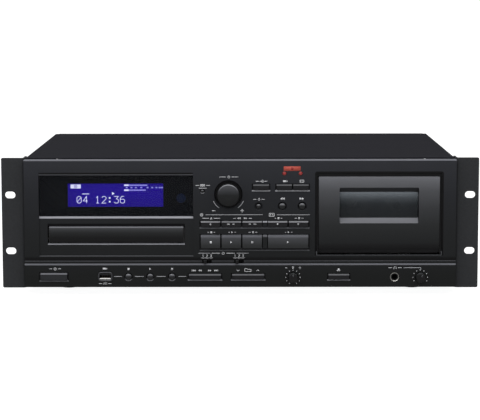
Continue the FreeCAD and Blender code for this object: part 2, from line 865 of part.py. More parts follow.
THIN_KEYS = [Key(label, x, s.key_width, s.thin_low, s.thin_high) for label, x in zip(
    ("disc_open_key", "disc_skip_back_key", "disc_skip_forward_key", "tape_stop_key", "tape_pause_key"),
    DISC_KEYS + TAPE_KEYS)]
WIDE_KEYS = [Key(label, x, s.key_width, s.wide_low, s.wide_high, rounded=s.wide_round)
             for label, x in zip(("disc_stop_button", "disc_play_button", "disc_pause_button"), DISC_KEYS)]
WIDE_KEYS.append(Key("tape_play_button", TAPE_MIDDLE, TAPE_WIDE, s.wide_low, s.wide_high,
                     rounded=s.wide_round))
SOURCE_KEY = Key("source_button", s.source_x, s.record_key_width + s.key_gap, s.record_low, s.record_high)
RECORD_KEYS = [Key(label, s.record_x + n * s.record_pitch, s.record_key_width, s.record_low, s.record_high)
               for n, label in enumerate(("record_usb_button", "record_tape_button"))]
POWER_KEY = Key("power_button", s.power_x, s.power_width, s.power_low, s.power_high, face=STRIP)
EJECT_KEY = Key("eject_button", s.eject_x, s.eject_width, s.bar_low, s.bar_high, face=STRIP)
ROCKERS = [Rocker("skip_rocker", s.skip_x, s.rocker_width, s.bar_low, s.bar_high, face=STRIP),
           Rocker("folder_rocker", s.folder_x, s.rocker_width, s.bar_low, s.bar_high, face=STRIP)]
KEYS = THIN_KEYS + WIDE_KEYS + [SOURCE_KEY] + RECORD_KEYS + [POWER_KEY, EJECT_KEY]

PLAYER_BUTTONS = [RoundButton(f"player_{name}_button", s.player_x + n * s.player_pitch, s.player_up,
                              s.button_radius, s.dish_radius - 0.5, face=STRIP)
                  for n, name in enumerate(("stop", "play", "pause"))]
WIND_BUTTONS = [RoundButton(f"{name}_button", s.wind_x + n * s.wind_pitch, s.wind_up, s.button_radius,
                            s.dish_radius)
                for n, name in enumerate(("rewind", "fast_forward"))]
BUTTONS = PLAYER_BUTTONS + WIND_BUTTONS + [
    RoundButton("repeat_button", s.repeat_x, s.wind_up, s.repeat_radius, s.repeat_dish),
    RoundButton("counter_reset_button", RESET_X, s.reset_up, s.reset_radius, s.reset_dish)]


def well(panel, group, face, drop=None):
    """A recess round a group of keys, with an upward-facing bevel along its lower edge, a drop below them."""
    first, last = group[0], group[-1]
    left = first.x - first.width / 2 - s.well_margin
    right = last.x + last.width / 2 + s.well_margin
    low = first.low - (s.well_margin * 0.5 if drop is None else drop)
    high = first.high + s.well_margin * 0.5
    recess(panel, face, s.well_depth, low, high, (left + right) / 2, right - left)


def recess(panel, face, depth, low, high, middle, width):
    """A flat recess whose lower edge is bevelled at 45 degrees, so it faces upwards."""
    floor = face + depth
    panel.side_profile("Pocket", [(face - 1, low - depth), (face, low - depth), (floor, low), (floor, high),
                                  (face - 1, high)], middle, width)


def key_hole(group):
    """The hole through the panel for a group of keys side by side."""
    first, last = group[0], group[-1]
    return (rectangle, first.x - first.width / 2 - s.key_gap, last.x + last.width / 2 + s.key_gap,
            first.low - s.key_gap, first.high + s.key_gap)


def make_front_panel():
    """The moulded front panel: bevelled top, stepped lower strip, wells, dishes and openings."""
    panel = Piece("front_panel")
    strip_high, ledge_high = up(s.strip_high), up(s.ledge_high)
    shoulder = STRIP + s.strip_bevel
    panel.side_profile("Pad", [
        (STRIP, PANEL_LOW), (STRIP, strip_high), (shoulder, strip_high + s.strip_rise),
        (shoulder, ledge_high - s.ledge_bevel), (FACE, ledge_high), (FACE, PANEL_HIGH - s.top_bevel),
        (FACE + s.top_bevel, PANEL_HIGH), (FRONT, PANEL_HIGH), (FRONT, PANEL_LOW)], 0, s.body_width)
    low, high = PANEL_LOW + s.panel_wall, PANEL_HIGH - s.panel_wall
    panel.side_profile("Pocket", [
        (STRIP_WALL_BACK, low), (STRIP_WALL_BACK, strip_high), (WALL_BACK, ledge_high),
        (WALL_BACK, high - s.top_bevel), (WALL_BACK + s.top_bevel, high), (FRONT + 1, high),
        (FRONT + 1, low)], 0, s.body_width - s.panel_wall * 2)
    window_panel(panel)
    well(panel, THIN_KEYS, FACE)
    well(panel, WIDE_KEYS, FACE, s.wide_drop)
    divider(panel)
    well(panel, [SOURCE_KEY], FACE)
    well(panel, RECORD_KEYS, FACE)
    for key in [POWER_KEY, EJECT_KEY] + ROCKERS:
        well(panel, [key], STRIP)
    for button in BUTTONS:
        dish(panel, button.x, button.z, button.face, button.dish, button.radius + s.key_gap, s.dish_depth)
    dish(panel, s.knob_x, up(s.knob_up), FACE, s.knob_dish, s.knob_dish - 1, s.knob_dish_depth)
    half_wide = s.socket_width / 2 + s.socket_side
    half_high = s.socket_height / 2 + s.socket_rim
    panel.box("Pocket", (s.socket_x - half_wide, STRIP, up(s.socket_up) - half_high),
              (s.socket_x + half_wide, STRIP + s.well_depth, up(s.socket_up) + half_high))
    rocker_lugs(panel)
    openings(panel)


def window_panel(panel):
    """The shallow frame with the lens seat, the tray surround and their bevels."""
    left, right = s.frame_x - s.frame_width / 2, s.frame_x + s.frame_width / 2
    wide = s.window_border
    panel.box("Pad", (left - wide, WALL_BACK, WINDOW_LOW - s.window_bevel - s.window_rim),
              (right + wide, RIM_BACK, WINDOW_HIGH + s.window_rim))
    recess(panel, FACE, s.frame_depth, up(s.frame_low), up(s.frame_high), s.frame_x, s.frame_width)
    frame_floor = FACE + s.frame_depth
    panel.side_profile("Pocket", [
        (FACE - 1, WINDOW_LOW - s.window_bevel), (frame_floor, WINDOW_LOW - s.window_bevel),
        (WINDOW_FRONT, WINDOW_LOW), (WINDOW_SEAT, WINDOW_LOW), (WINDOW_SEAT, WINDOW_HIGH),
        (FACE - 1, WINDOW_HIGH)], s.frame_x, s.frame_width)
    low = up(s.tray_low) - s.tray_gap_low
    width = s.tray_width + s.tray_gap_side * 2
    panel.side_profile("Pocket", [
        (FACE - 1, low - s.tray_bevel), (frame_floor, low - s.tray_bevel),
        (frame_floor + s.tray_bevel, low), (frame_floor + s.tray_bevel, low + 1), (FACE - 1, low + 1)],
        s.frame_x, width)
    posts = [(circle, s.screen_x + POST_REACH * side, up(s.screen_up) + POST_RISE * rise, 2)
             for side in (-1, 1) for rise in (-1, 1)]
    panel.extrude("Pad", "XZ", RIM_BACK, MODULE_BOARD, posts)


MODULE_FRONT = RIM_BACK + s.fit_gap
MODULE_BOARD = MODULE_FRONT + s.screen_depth
POST_REACH = s.screen_width / 2 + 9
POST_RISE = s.screen_height / 2 + 5.5


def divider(panel):
    """The fixed key-shaped piece between the disc keys and the tape keys."""
    for key in (THIN_KEYS[0], WIDE_KEYS[0]):
        behind = FACE + s.panel_wall
        panel.side_profile("Pad", key.cap(behind) + [(behind, key.low)], s.divider_x, s.divider_width)
        if key.rounded is not None:
            panel.soften("Fillet", key.rounded * 0.9, straight("X", Y=(key.front,), Z=(key.high,)))


def dish(panel, x, z, face, outer, inner, depth):
    """A conical dish round a button or knob."""
    panel.turned("Groove", x, z, [(face - 1, 0), (face - 1, outer), (face, outer), (face + depth, inner),
                                  (face + depth, 0)])


def openings(panel):
    """Every hole that goes through the panel's wall."""
    groups = (THIN_KEYS[:3], THIN_KEYS[3:], WIDE_KEYS[:3], WIDE_KEYS[3:], [SOURCE_KEY], RECORD_KEYS,
              [POWER_KEY], [EJECT_KEY])
    holes = [key_hole(group) for group in groups]
    gap = s.fit_gap * 2
    holes += [(rectangle, rocker.x - rocker.width / 2 - gap, rocker.x + rocker.width / 2 + gap,
               rocker.low - s.key_gap, rocker.high + s.key_gap) for rocker in ROCKERS]
    holes += [(circle, button.x, button.z, button.radius + s.key_gap) for button in BUTTONS]
    holes.append((circle, s.knob_x, up(s.knob_up), s.knob_shaft + s.bush_wall + s.fit_gap))
    holes += [(circle, x, up(s.small_knob_up), s.small_knob_radius + s.key_gap)
              for x in (s.pitch_x, s.phones_knob_x)]
    holes.append((circle, s.jack_x, up(s.jack_up), s.jack_ring))
    holes += [(circle, x, LAMP_HIGH, s.lamp_radius + s.fit_gap) for x in LAMPS]
    holes += [around(x, s.slide_up, s.slide_width, s.slide_height) for x in SLIDES]
    holes.append(around(s.socket_x, s.socket_up, s.socket_width, s.socket_height))
    holes.append((rectangle, TRAY_LEFT - s.tray_gap_side, TRAY_RIGHT + s.tray_gap_side,
                  up(s.tray_low) - s.tray_gap_low, up(s.tray_high) + s.tray_gap_high))
    holes.append((rectangle, DOOR_LEFT - s.door_gap, DOOR_RIGHT + s.door_gap, up(s.door_opening_low),
                  up(s.door_high) + s.door_gap_high))
    holes.append(around(s.screen_x, s.screen_up, s.screen_width, s.screen_height))
    holes.append((circle, s.sensor_x, up(s.sensor_up), s.sensor_radius))
    panel.extrude("Pocket", "XZ", STRIP, RIM_BACK, holes)


def around(x, height, width, rise):
    """A rectangle given by its middle and its size."""
    return (rectangle, x - width / 2, x + width / 2, up(height) - rise / 2, up(height) + rise / 2)


def rocker_lugs(panel):
    """The two bored lugs behind the panel that hold each rocker's pivot."""
    reach = s.rocker_pivot + s.run_gap + 1.2
    rocker = ROCKERS[0]
    for low in (rocker.low - s.key_gap - ROCKER_LUG, rocker.high + s.key_gap):
        lugs = [(rectangle, x - reach, x + reach, STRIP_WALL_BACK - 0.5, ROCKER_Y + reach)
                for x in (s.skip_x, s.folder_x)]
        panel.extrude("Pad", "XY", low, low + ROCKER_LUG, lugs)
        bores = [(circle, x, ROCKER_Y, s.rocker_pivot + s.run_gap) for x in (s.skip_x, s.folder_x)]
        panel.extrude("Pocket", "XY", low, low + ROCKER_LUG, bores)


# Display

def make_display_window():
    """The smoked window in its seat, with a bevelled upper edge."""
    window = Piece("display_window")
    gap = s.fit_gap / 2
    low, high = WINDOW_LOW + gap, WINDOW_HIGH - gap
    window.side_profile("Pad", [
        (WINDOW_FRONT, low), (WINDOW_FRONT, high - s.window_edge), (WINDOW_FRONT + s.window_edge, high),
        (WINDOW_SEAT, high), (WINDOW_SEAT, low)], s.frame_x, s.frame_width - gap * 2)


def make_display_module():
    """The screen in its metal frame, on a board with the remote-control receiver."""
    module = Piece("display_module")
    half_wide, half_high = s.screen_width / 2, s.screen_height / 2
    x, z = s.screen_x, up(s.screen_up)
    border = 4
    module.box("Pad", (x - half_wide - border, MODULE_FRONT, z - half_high - border),
               (x + half_wide + border, MODULE_BOARD, z + half_high + border))
    module.box("Pocket", (x - half_wide, MODULE_FRONT, z - half_high),
               (x + half_wide, MODULE_FRONT + 1, z + half_high))
    module.box("Pad", (x - POST_REACH - border, MODULE_BOARD, z - POST_RISE - border / 2),
               (s.sensor_x + border, MODULE_BOARD + s.board_sheet, z + POST_RISE + border / 2))
    module.box("Pad", (s.sensor_x - border, MODULE_FRONT + 2, up(s.sensor_up) - border),
               (s.sensor_x + border, MODULE_BOARD, up(s.sensor_up) + border))


# Boards and sockets

BOARD_BACK = BOARD + s.board_sheet
JACK_END = STRIP - 0.5 + s.jack_depth


def make_key_board():
    """The board behind the keys, with its switches, encoder and two potentiometers."""
    board = Piece("key_board")
    sketch = board.sketch("XZ", BOARD_BACK)
    left, right = RESET_X - 7, DOOR_LEFT - s.door_gap - 3
    low, high = up(s.panel_low) + s.panel_wall + 1, LAMP_HIGH + 6
    strip_left, strip_right = s.power_x - 12, s.phones_knob_x + 12
    step = up(s.strip_high) - 1
    outline(sketch, [(strip_left, low), (strip_right, low), (strip_right, step), (right, step), (right, high),
                     (left, high), (left, step), (strip_left, step)])
    board.sweep("Pad", sketch, s.board_sheet)
    half = s.switch_side / 2
    places = [(key.x, (key.low + key.high) / 2) for key in KEYS]
    places += [(button.x, button.z) for button in BUTTONS]
    places += [(rocker.x + rocker.width / 3 * side, (rocker.low + rocker.high) / 2)
               for rocker in ROCKERS for side in (-1, 1)]
    switches = [(rectangle, x - half, x + half, z - half, z + half) for x, z in places]
    knobs = [(s.knob_x, up(s.knob_up), s.knob_shaft, 6)]
    knobs += [(x, up(s.small_knob_up), s.small_shaft, 5) for x in (s.pitch_x, s.phones_knob_x)]
    switches += [(rectangle, x - body, x + body, z - body, z + body) for x, z, shaft, body in knobs]
    board.extrude("Pad", "XZ", SWITCH_TOP, BOARD, switches)
    small = [(circle, x, z, shaft + s.bush_wall) for x, z, shaft, body in knobs]
    board.extrude("Pad", "XZ", WALL_BACK - 1, BOARD, small[:1])
    board.extrude("Pad", "XZ", SWITCH_TOP - 4, BOARD, small[1:])
    bores = [(circle, x, z, shaft + s.run_gap) for x, z, shaft, body in knobs]
    board.extrude("Pocket", "XZ", WALL_BACK - 1, BOARD, bores)
    z = up(s.slide_up)
    board.extrude("Pad", "XZ", SLIDE_SEAT, BOARD, [(rectangle, x - 7, x + 7, z - 3, z + 3) for x in SLIDES])
    reach = s.jack_ring + 3
    jack_hole = (rectangle, s.jack_x - reach, s.jack_x + reach, low - 1, up(s.jack_up) + reach)
    reach = s.socket_width / 2 + 1
    socket_hole = (rectangle, s.socket_x - reach, s.socket_x + reach, up(s.socket_up) - 4, step + 1)
    board.extrude("Pocket", "XZ", BOARD, BOARD_BACK, [jack_hole, socket_hole])


SLIDE_SEAT = BOARD - 5


def make_main_board():
    """The main board with its processors, capacitors and connectors."""
    board = Piece("main_board")
    low = PAN_TOP + s.standoff
    high = low + s.board_sheet
    x, y = s.main_x, back(s.main_back)
    half_wide, half_long = s.main_width / 2, s.main_depth / 2
    board.box("Pad", (x - half_wide, y - half_long, low), (x + half_wide, y + half_long, high))
    for n in range(4):
        board.rod("Additive", "XY", high, x + (n - 1.5) * s.can_pitch, y + s.main_depth / 6,
                  s.can_radius, s.can_height)
    for side in (-1, 1):
        chip_x, plug_x = x + s.main_width / 8 * side, x + s.main_width / 5 * side
        board.box("Pad", (chip_x - s.chip_side / 2, y - s.chip_side, high),
                  (chip_x + s.chip_side / 2, y, high + s.chip_height))
        board.box("Pad", (plug_x - s.plug_length / 2, y - half_long + s.plug_width, high),
                  (plug_x + s.plug_length / 2, y - half_long + s.plug_width * 2, high + s.plug_height))


def make_power_board():
    """The supply board with its transformer, reservoir capacitors and heat sink."""
    board = Piece("power_board")
    low = PAN_TOP + s.standoff
    high = low + s.board_sheet
    x, y = s.supply_x, back(s.supply_back)
    half_wide, half_long = s.supply_width / 2, s.supply_depth / 2
    board.box("Pad", (x - half_wide, y - half_long, low), (x + half_wide, y + half_long, high))
    core_x, core_y = x + s.core_width / 4, y - s.core_depth / 4
    coil_width, coil_depth = s.core_width - s.coil_proud * 5, s.core_depth + s.coil_proud * 2
    for width, depth, rise in ((s.core_width, s.core_depth, 0), (coil_width, coil_depth, s.coil_proud)):
        board.box("Pad", (core_x - width / 2, core_y - depth / 2, high + rise),
                  (core_x + width / 2, core_y + depth / 2, high + s.core_height - rise))
    for n in range(2):
        board.rod("Additive", "XY", high, x - s.supply_width * 0.3, y + (n - 0.9) * s.main_can_pitch,
                  s.main_can_radius, s.main_can_height)
    sink_y = y + s.supply_depth * 0.36
    board.box("Pad", (core_x - s.sink_width / 2, sink_y - 1, high),
              (core_x + s.sink_width / 2, sink_y + 1, high + s.sink_height))
    for n in range(4):
        fin_x = core_x + (n - 1.5) * s.sink_width / 3.5
        board.box("Pad", (fin_x - 1, sink_y, high), (fin_x + 1, sink_y + s.sink_fin, high + s.sink_height))


def make_line_jacks():
    """Three stacked pairs of line sockets, with their barrels through the rear wall."""
    jacks = Piece("line_jacks")
    low = PAN_TOP + s.standoff + s.board_sheet
    high = up(s.line_low + s.line_rise) + 8
    blocks = [(rectangle, x - 8, x + 8, low, high) for x in JACK_COLUMNS]
    jacks.extrude("Pad", "XZ", REAR_IN - 12, REAR_IN, blocks)
    places = [(x, up(s.line_low + step * s.line_rise)) for x in JACK_COLUMNS for step in range(2)]
    end = CASE_BACK + s.jack_reach
    jacks.extrude("Pad", "XZ", REAR_IN, end, [(circle, x, z, s.line_radius) for x, z in places])
    jacks.extrude("Pocket", "XZ", CASE_BACK, end, [(circle, x, z, 1.7) for x, z in places])


def make_mains_inlet():
    """The three-pin mains inlet, without any cord."""
    inlet = Piece("mains_inlet")
    x, z = s.inlet_x, up(s.inlet_up)
    half_wide, half_high = s.inlet_width / 2, s.inlet_height / 2
    mouth = REAR_OUT + s.inlet_flange
    floor = mouth - s.inlet_depth
    inlet.box("Pad", (x - half_wide, floor - 2, z - half_high), (x + half_wide, REAR_OUT, z + half_high))
    inlet.box("Pad", (x - half_wide - 4, REAR_OUT, z - half_high - 3),
              (x + half_wide + 4, mouth, z + half_high + 3))
    inlet.box("Pocket", (x - half_wide + 1.5, floor, z - half_high + 1.8),
              (x + half_wide - 1.5, mouth, z + half_high - 1.8))
    for across, rise in ((-7, -2), (0, 3), (7, -2)):
        inlet.box("Pad", (x + across - 1, floor, z + rise - 2), (x + across + 1, mouth - 5, z + rise + 2))
    inlet.box("Pad", (x - 8, REAR_OUT - 14, PAN_TOP + s.standoff + s.board_sheet),
              (x + 8, REAR_OUT - 8, z - half_high))


def make_player_socket():
    """The flat data socket: a folded shell with its tongue."""
    socket = Piece("usb_socket")
    x, z = s.socket_x, up(s.socket_up)
    half_wide = s.socket_width / 2 - s.fit_gap / 2
    half_high = s.socket_height / 2 - s.fit_gap / 2
    front = STRIP + s.well_depth - 0.4
    end = front + s.socket_depth
    wall = s.socket_sheet
    socket.box("Pad", (x - half_wide, front, z - half_high), (x + half_wide, end, z + half_high))
    socket.box("Pocket", (x - half_wide + wall, front, z - half_high + wall),
               (x + half_wide - wall, end - 1, z + half_high - wall))
    socket.box("Pad", (x - half_wide + 1.2, front + 0.8, z - half_high + wall),
               (x + half_wide - 1.2, end - 1, z - half_high + wall + 1.8))
    socket.box("Pad", (x - half_wide, BOARD - 3, up(s.panel_low) + s.panel_wall + 2),
               (x + half_wide, BOARD, z - half_high))


def make_phones_jack():
    """The quarter-inch headphone socket with its plated ring."""
    jack = Piece("phones_jack")
    ring_front = STRIP - 0.5
    ring = s.jack_ring - s.fit_gap / 2
    body = s.jack_ring + 2
    jack.turned("Revolution", s.jack_x, up(s.jack_up), [
        (ring_front, s.jack_bore), (ring_front, ring - 0.4), (ring_front + 0.4, ring),
        (STRIP_WALL_BACK + s.fit_gap, ring), (STRIP_WALL_BACK + s.fit_gap, body), (JACK_END, body),
        (JACK_END, s.jack_bore)])


def make_record_lamps():
    """Two small lamps with round lenses."""
    lamps = Piece("record_lamps")
    for x in LAMPS:
        lamps.turned("Revolution", x, LAMP_HIGH, [
            (FACE - 0.6, 0), (FACE - 0.4, s.lamp_radius * 0.6), (FACE + 0.2, s.lamp_radius),
            (BOARD, s.lamp_radius), (BOARD, 0)])


# Knobs and slide switches

def make_level_knob():
    """The large record level knob and its shaft."""
    knob = Piece("record_level_knob")
    front = FACE - s.level_knob_proud
    seat = FACE + s.knob_dish_depth - s.fit_gap
    radius = s.knob_radius
    knob.turned("Revolution", s.knob_x, up(s.knob_up), [
        (front, 0), (front, radius - s.knob_edge * 2), (front + s.knob_edge * 0.4, radius - s.knob_edge),
        (front + s.knob_edge * 1.4, radius - s.knob_edge * 0.2), (front + s.knob_edge * 2.5, radius),
        (seat, radius), (seat, radius - 2), (seat - 2, radius - 2), (seat - 2, s.knob_shaft + 1),
        (WALL_BACK - 1 - s.fit_gap, s.knob_shaft + 1), (WALL_BACK - 1 - s.fit_gap, s.knob_shaft),
        (SWITCH_TOP, s.knob_shaft), (SWITCH_TOP, 0)])


# the phones knob's rest place, in degrees clockwise from straight up
PHONES_POINTER = 30


def make_small_knob(label, x, pointer=0):
    """A small knob with a pointer groove, which stands pointer degrees clockwise, and its shaft."""
    knob = Piece(label)
    front = STRIP - s.small_knob_proud
    radius = s.small_knob_radius
    end = STRIP_WALL_BACK + s.fit_gap
    knob.turned("Revolution", x, up(s.small_knob_up), [
        (front, 0), (front, radius - 0.8), (front + 0.8, radius - 0.2), (end, radius), (end, s.small_shaft),
        (SWITCH_TOP + 2, s.small_shaft), (SWITCH_TOP + 2, 0)])
    along, aside = math.cos(math.radians(pointer)), math.sin(math.radians(pointer))
    z = up(s.small_knob_up)
    groove = [(x + radius * reach * aside + half * along, z + radius * reach * along - half * aside)
              for reach, half in ((0.25, -0.4), (0.25, 0.4), (1.1, 0.4), (1.1, -0.4))]
    knob.extrude("Pocket", "XZ", front, front + 0.5, [(outline, groove)])


def make_slide_switch(label, x):
    """A slide lever, at rest one step to the left of the middle."""
    lever = Piece(label)
    middle = x - s.slide_step
    half = s.lever_width / 2
    z = up(s.slide_up)
    reach = s.slide_height / 2 - s.fit_gap
    lever.box("Pad", (middle - half, STRIP + s.strip_bevel + s.ledge_bevel - s.lever_proud, z - reach),
              (middle + half, SLIDE_SEAT - 1.5, z + reach))
    plate = s.slide_width / 2
    lever.box("Pad", (middle - plate, SLIDE_SEAT - 1.5, z - 3),
              (middle + plate, SLIDE_SEAT - s.fit_gap, z + 3))


# Disc drive

DRAWER_LOW = up(s.drawer_low)
DRAWER_HIGH = up(s.drawer_high)
DRAWER_FRONT = FACE + s.tray_inset + s.tray_front_sheet
DRAWER_BACK = DRAWER_FRONT + s.drawer_depth
PLATE_LOW = DRAWER_HIGH - s.drawer_plate
DISC_Y = back(s.disc_back)
LOADER_IN = s.drawer_width / 2 + s.fit_gap
LOADER_OUT = LOADER_IN + s.loader_wall
LOADER_LOW = up(s.loader_floor)
LOADER_FLOOR = LOADER_LOW + 2.5
ROD_UP = LOADER_FLOOR + 8.5
SLED_FRONT = DISC_Y + s.sled_gap
SLED_BACK = SLED_FRONT + s.sled_length


def make_tray_front():
    """The drawer's front, with a bevelled upper edge."""
    front = Piece("tray_front")
    y = FACE + s.tray_inset
    low, high = up(s.tray_low), up(s.tray_high)
    front.side_profile("Pad", [(y, low), (y, high - s.tray_edge), (y + s.tray_edge, high),
                               (y + s.tray_front_sheet, high), (y + s.tray_front_sheet, low)],
                       s.frame_x, s.tray_width)


def make_disc_tray():
    """The drawer: a plate with skirts, seats for two disc sizes and the pickup slot."""
    tray = Piece("disc_tray")
    half = s.drawer_width / 2
    tray.box("Pad", (s.frame_x - half, DRAWER_FRONT, DRAWER_LOW),
             (s.frame_x + half, DRAWER_BACK, DRAWER_HIGH))
    inner = half - s.drawer_skirt
    tray.box("Pocket", (s.frame_x - inner, DRAWER_FRONT + s.drawer_skirt, DRAWER_LOW),
             (s.frame_x + inner, DRAWER_BACK + 1, PLATE_LOW))
    tray.rod("Subtractive", "XY", DRAWER_HIGH - s.disc_depth, s.frame_x, DISC_Y, s.disc_radius, s.disc_depth)
    floor = DRAWER_HIGH - s.disc_depth - s.small_disc_depth
    tray.rod("Subtractive", "XY", floor, s.frame_x, DISC_Y, s.small_disc_radius, s.small_disc_depth)
    slot = s.drawer_slot_width / 2
    tray.rod("Subtractive", "XY", PLATE_LOW, s.frame_x, DISC_Y, slot, s.drawer_plate)
    tray.box("Pocket", (s.frame_x - slot, DISC_Y, PLATE_LOW), (s.frame_x + slot, DISC_Y + s.drawer_slot_reach,
                                                              DRAWER_HIGH))


def make_loader_frame():
    """The loader's moulded channel with its runners, legs, clamp bridge, motor and guide rods."""
    frame = Piece("loader_frame")
    loader_front = back(-4)
    y_back = back(s.loader_back)
    high = DRAWER_HIGH + s.fit_gap + 2
    ledge_low, ledge_high = DRAWER_LOW - s.fit_gap - 2, DRAWER_LOW - s.fit_gap
    sketch = frame.sketch("XZ", y_back)
    right = [(LOADER_OUT, LOADER_LOW), (LOADER_OUT, high), (LOADER_IN - s.loader_lip, high),
             (LOADER_IN - s.loader_lip, high - 2), (LOADER_IN, high - 2), (LOADER_IN, ledge_high),
             (LOADER_IN - 3.5, ledge_high), (LOADER_IN - 3.5, ledge_low), (LOADER_IN, ledge_low),
             (LOADER_IN, LOADER_FLOOR)]
    left = [(-across, height) for across, height in reversed(right)]
    outline(sketch, [(s.frame_x + across, height) for across, height in right + left])
    frame.sweep("Pad", sketch, y_back - loader_front)
    for side in (-1, 1):
        for y in (loader_front + 24, y_back - 12):
            frame.box("Pad", (s.frame_x + (LOADER_OUT - 5) * side - 5, y - 5, PAN_TOP),
                      (s.frame_x + (LOADER_OUT - 5) * side + 5, y + 5, LOADER_LOW))
    half = s.bridge_width / 2
    frame.box("Pad", (s.frame_x - LOADER_OUT, DISC_Y - half, high),
              (s.frame_x + LOADER_OUT, DISC_Y + half, high + 2.5))
    frame.rod("Additive", "XY", DRAWER_HIGH + s.fit_gap * 2, s.frame_x, DISC_Y, s.clamp_radius,
              high - DRAWER_HIGH - s.fit_gap * 2)
    frame.rod("Additive", "XY", LOADER_FLOOR, s.frame_x, DISC_Y, s.motor_radius, 9.5)
    for y in (SLED_FRONT - 6, SLED_BACK + s.sled_travel + 3):
        frame.box("Pad", (s.frame_x - s.rod_spread / 2 - 4, y, LOADER_FLOOR),
                  (s.frame_x + s.rod_spread / 2 + 4, y + 3, ROD_UP + 3))
    for side in (-1, 1):
        frame.rod("Additive", "XZ", SLED_BACK + s.sled_travel + 4, s.frame_x + s.rod_spread / 2 * side,
                  ROD_UP, s.rod_radius, s.sled_length + s.sled_travel + 8)
    frame.rod("Subtractive", "XY", LOADER_LOW, s.frame_x, DISC_Y, s.spindle_shaft + s.run_gap, 12)


def make_disc_turntable():
    """The disc platter with its centring cone and shaft, in its lowered place."""
    table = Piece("disc_turntable")
    top = PLATE_LOW - s.fit_gap
    platter = LOADER_FLOOR + 9.5 + s.fit_gap
    sketch = table.sketch("XZ", DISC_Y, s.frame_x)
    outline(sketch, [(0, LOADER_LOW + 1), (s.spindle_shaft, LOADER_LOW + 1), (s.spindle_shaft, platter),
                     (s.platter_radius, platter), (s.platter_radius, top - 2.5), (s.cone_radius, top - 2.5),
                     (s.cone_radius - 1, top), (0, top)])
    table.spin("Revolution", sketch, "V_Axis")


def make_pickup_sled():
    """The laser pickup on its two guide rods, with the lens on top."""
    sled = Piece("pickup_sled")
    half = s.sled_width / 2
    low = LOADER_FLOOR + 1.5
    sled.box("Pad", (s.frame_x - half, SLED_FRONT, low), (s.frame_x + half, SLED_BACK, ROD_UP + 3))
    middle = (SLED_FRONT + SLED_BACK) / 2
    sled.rod("Additive", "XY", ROD_UP + 3, s.frame_x, middle, 5, 2)
    sled.rod("Additive", "XY", ROD_UP + 5, s.frame_x, middle, 3, 1.2)
    for side in (-1, 1):
        sled.rod("Subtractive", "XZ", SLED_BACK, s.frame_x + s.rod_spread / 2 * side, ROD_UP,
                 s.rod_radius + s.run_gap, s.sled_length)


# Cassette door and tape transport

DOOR_Y = FACE + s.door_inset
HINGE_Y = DOOR_Y + s.hinge_radius
HINGE_Z = up(s.hinge_up)
PANE_Y = DOOR_Y + s.pane_depth
HOLDER_FRONT = PANE_Y + s.pane_sheet + s.fit_gap
POCKET_FRONT = HOLDER_FRONT + s.holder_sheet
POCKET_BACK = POCKET_FRONT + s.cassette_thick + s.cassette_play
POCKET_LOW = up(s.hinge_up) + 2
POCKET_HALF = (s.cassette_width + s.cassette_play) / 2
DECK = back(s.deck_back)
DECK_BACK = DECK + s.deck_sheet
REEL_Z = POCKET_LOW + s.reel_up
CAPSTAN_Z = POCKET_LOW + s.capstan_up
ROLLER_Z = CAPSTAN_Z - s.capstan_radius - s.fit_gap - s.roller_radius - s.head_travel
HEAD_Z = POCKET_LOW - 1.3
TAPE_TIP = back(s.reel_tip)


def make_cassette_door():
    """The door: a flat leaf with a bevelled window, and a lower lip curved about the hinge."""
    door = Piece("cassette_door")
    half = s.door_width / 2
    high = up(s.door_high)
    door.box("Pad", (DOOR_LEFT, DOOR_Y, HINGE_Z), (DOOR_RIGHT, DOOR_Y + s.door_wall, high))
    sketch = door.sketch("XY", HINGE_Z, 0, HINGE_Y)
    rectangle(sketch, DOOR_LEFT, DOOR_RIGHT, -s.hinge_radius, s.door_wall - s.hinge_radius)
    door.spin("Revolution", sketch, "H_Axis", s.lip_angle)
    boss = s.pane_width / 2 + s.pane_border
    door.box("Pad", (s.door_x - boss, DOOR_Y + s.door_wall, up(s.sill_low) - s.pane_border),
             (s.door_x + boss, PANE_Y, up(s.sill_high) + s.pane_border))
    door.side_profile("Pocket", [
        (DOOR_Y - 1, up(s.sill_low)), (DOOR_Y, up(s.sill_low)), (PANE_Y, up(s.pane_low)),
        (PANE_Y, up(s.pane_high)), (DOOR_Y, up(s.sill_high)), (DOOR_Y - 1, up(s.sill_high))],
        s.door_x, s.pane_width)
    arm = s.hinge_pin + 2.5
    for side in (-1, 1):
        outer = s.door_x + half * side
        inner = outer - s.door_side * side
        left, right = (inner, outer) if side > 0 else (outer, inner)
        door.box("Pad", (left, DOOR_Y + s.door_wall, HINGE_Z), (right, HINGE_Y + arm, high - s.door_wall))
        door.rod("Additive", "YZ", left, HINGE_Y, HINGE_Z, arm, s.door_side)
        pin = outer if side > 0 else outer - PIN_REACH
        door.rod("Additive", "YZ", pin, HINGE_Y, HINGE_Z, s.hinge_pin, PIN_REACH)
    door.soften("Fillet", s.door_corner, straight("Y", X=(DOOR_LEFT, DOOR_RIGHT), Z=(high,)))
    half = s.pane_width.value / 2
    door.soften("Fillet", s.pane_corner, lambda box: box.XLength < TINY and min(box.YLength, box.ZLength) > 1
                and abs(abs(box.XMin - s.door_x.value) - half) < 1e-4)


PIN_REACH = measure(2.0)


def make_door_window():
    """The clear pane behind the door's bevelled opening."""
    pane = Piece("door_window")
    half = s.pane_width / 2 + s.pane_border / 2
    pane.box("Pad", (s.door_x - half, PANE_Y, up(s.pane_low) - s.pane_border),
             (s.door_x + half, PANE_Y + s.pane_sheet, up(s.pane_high) + s.pane_border))


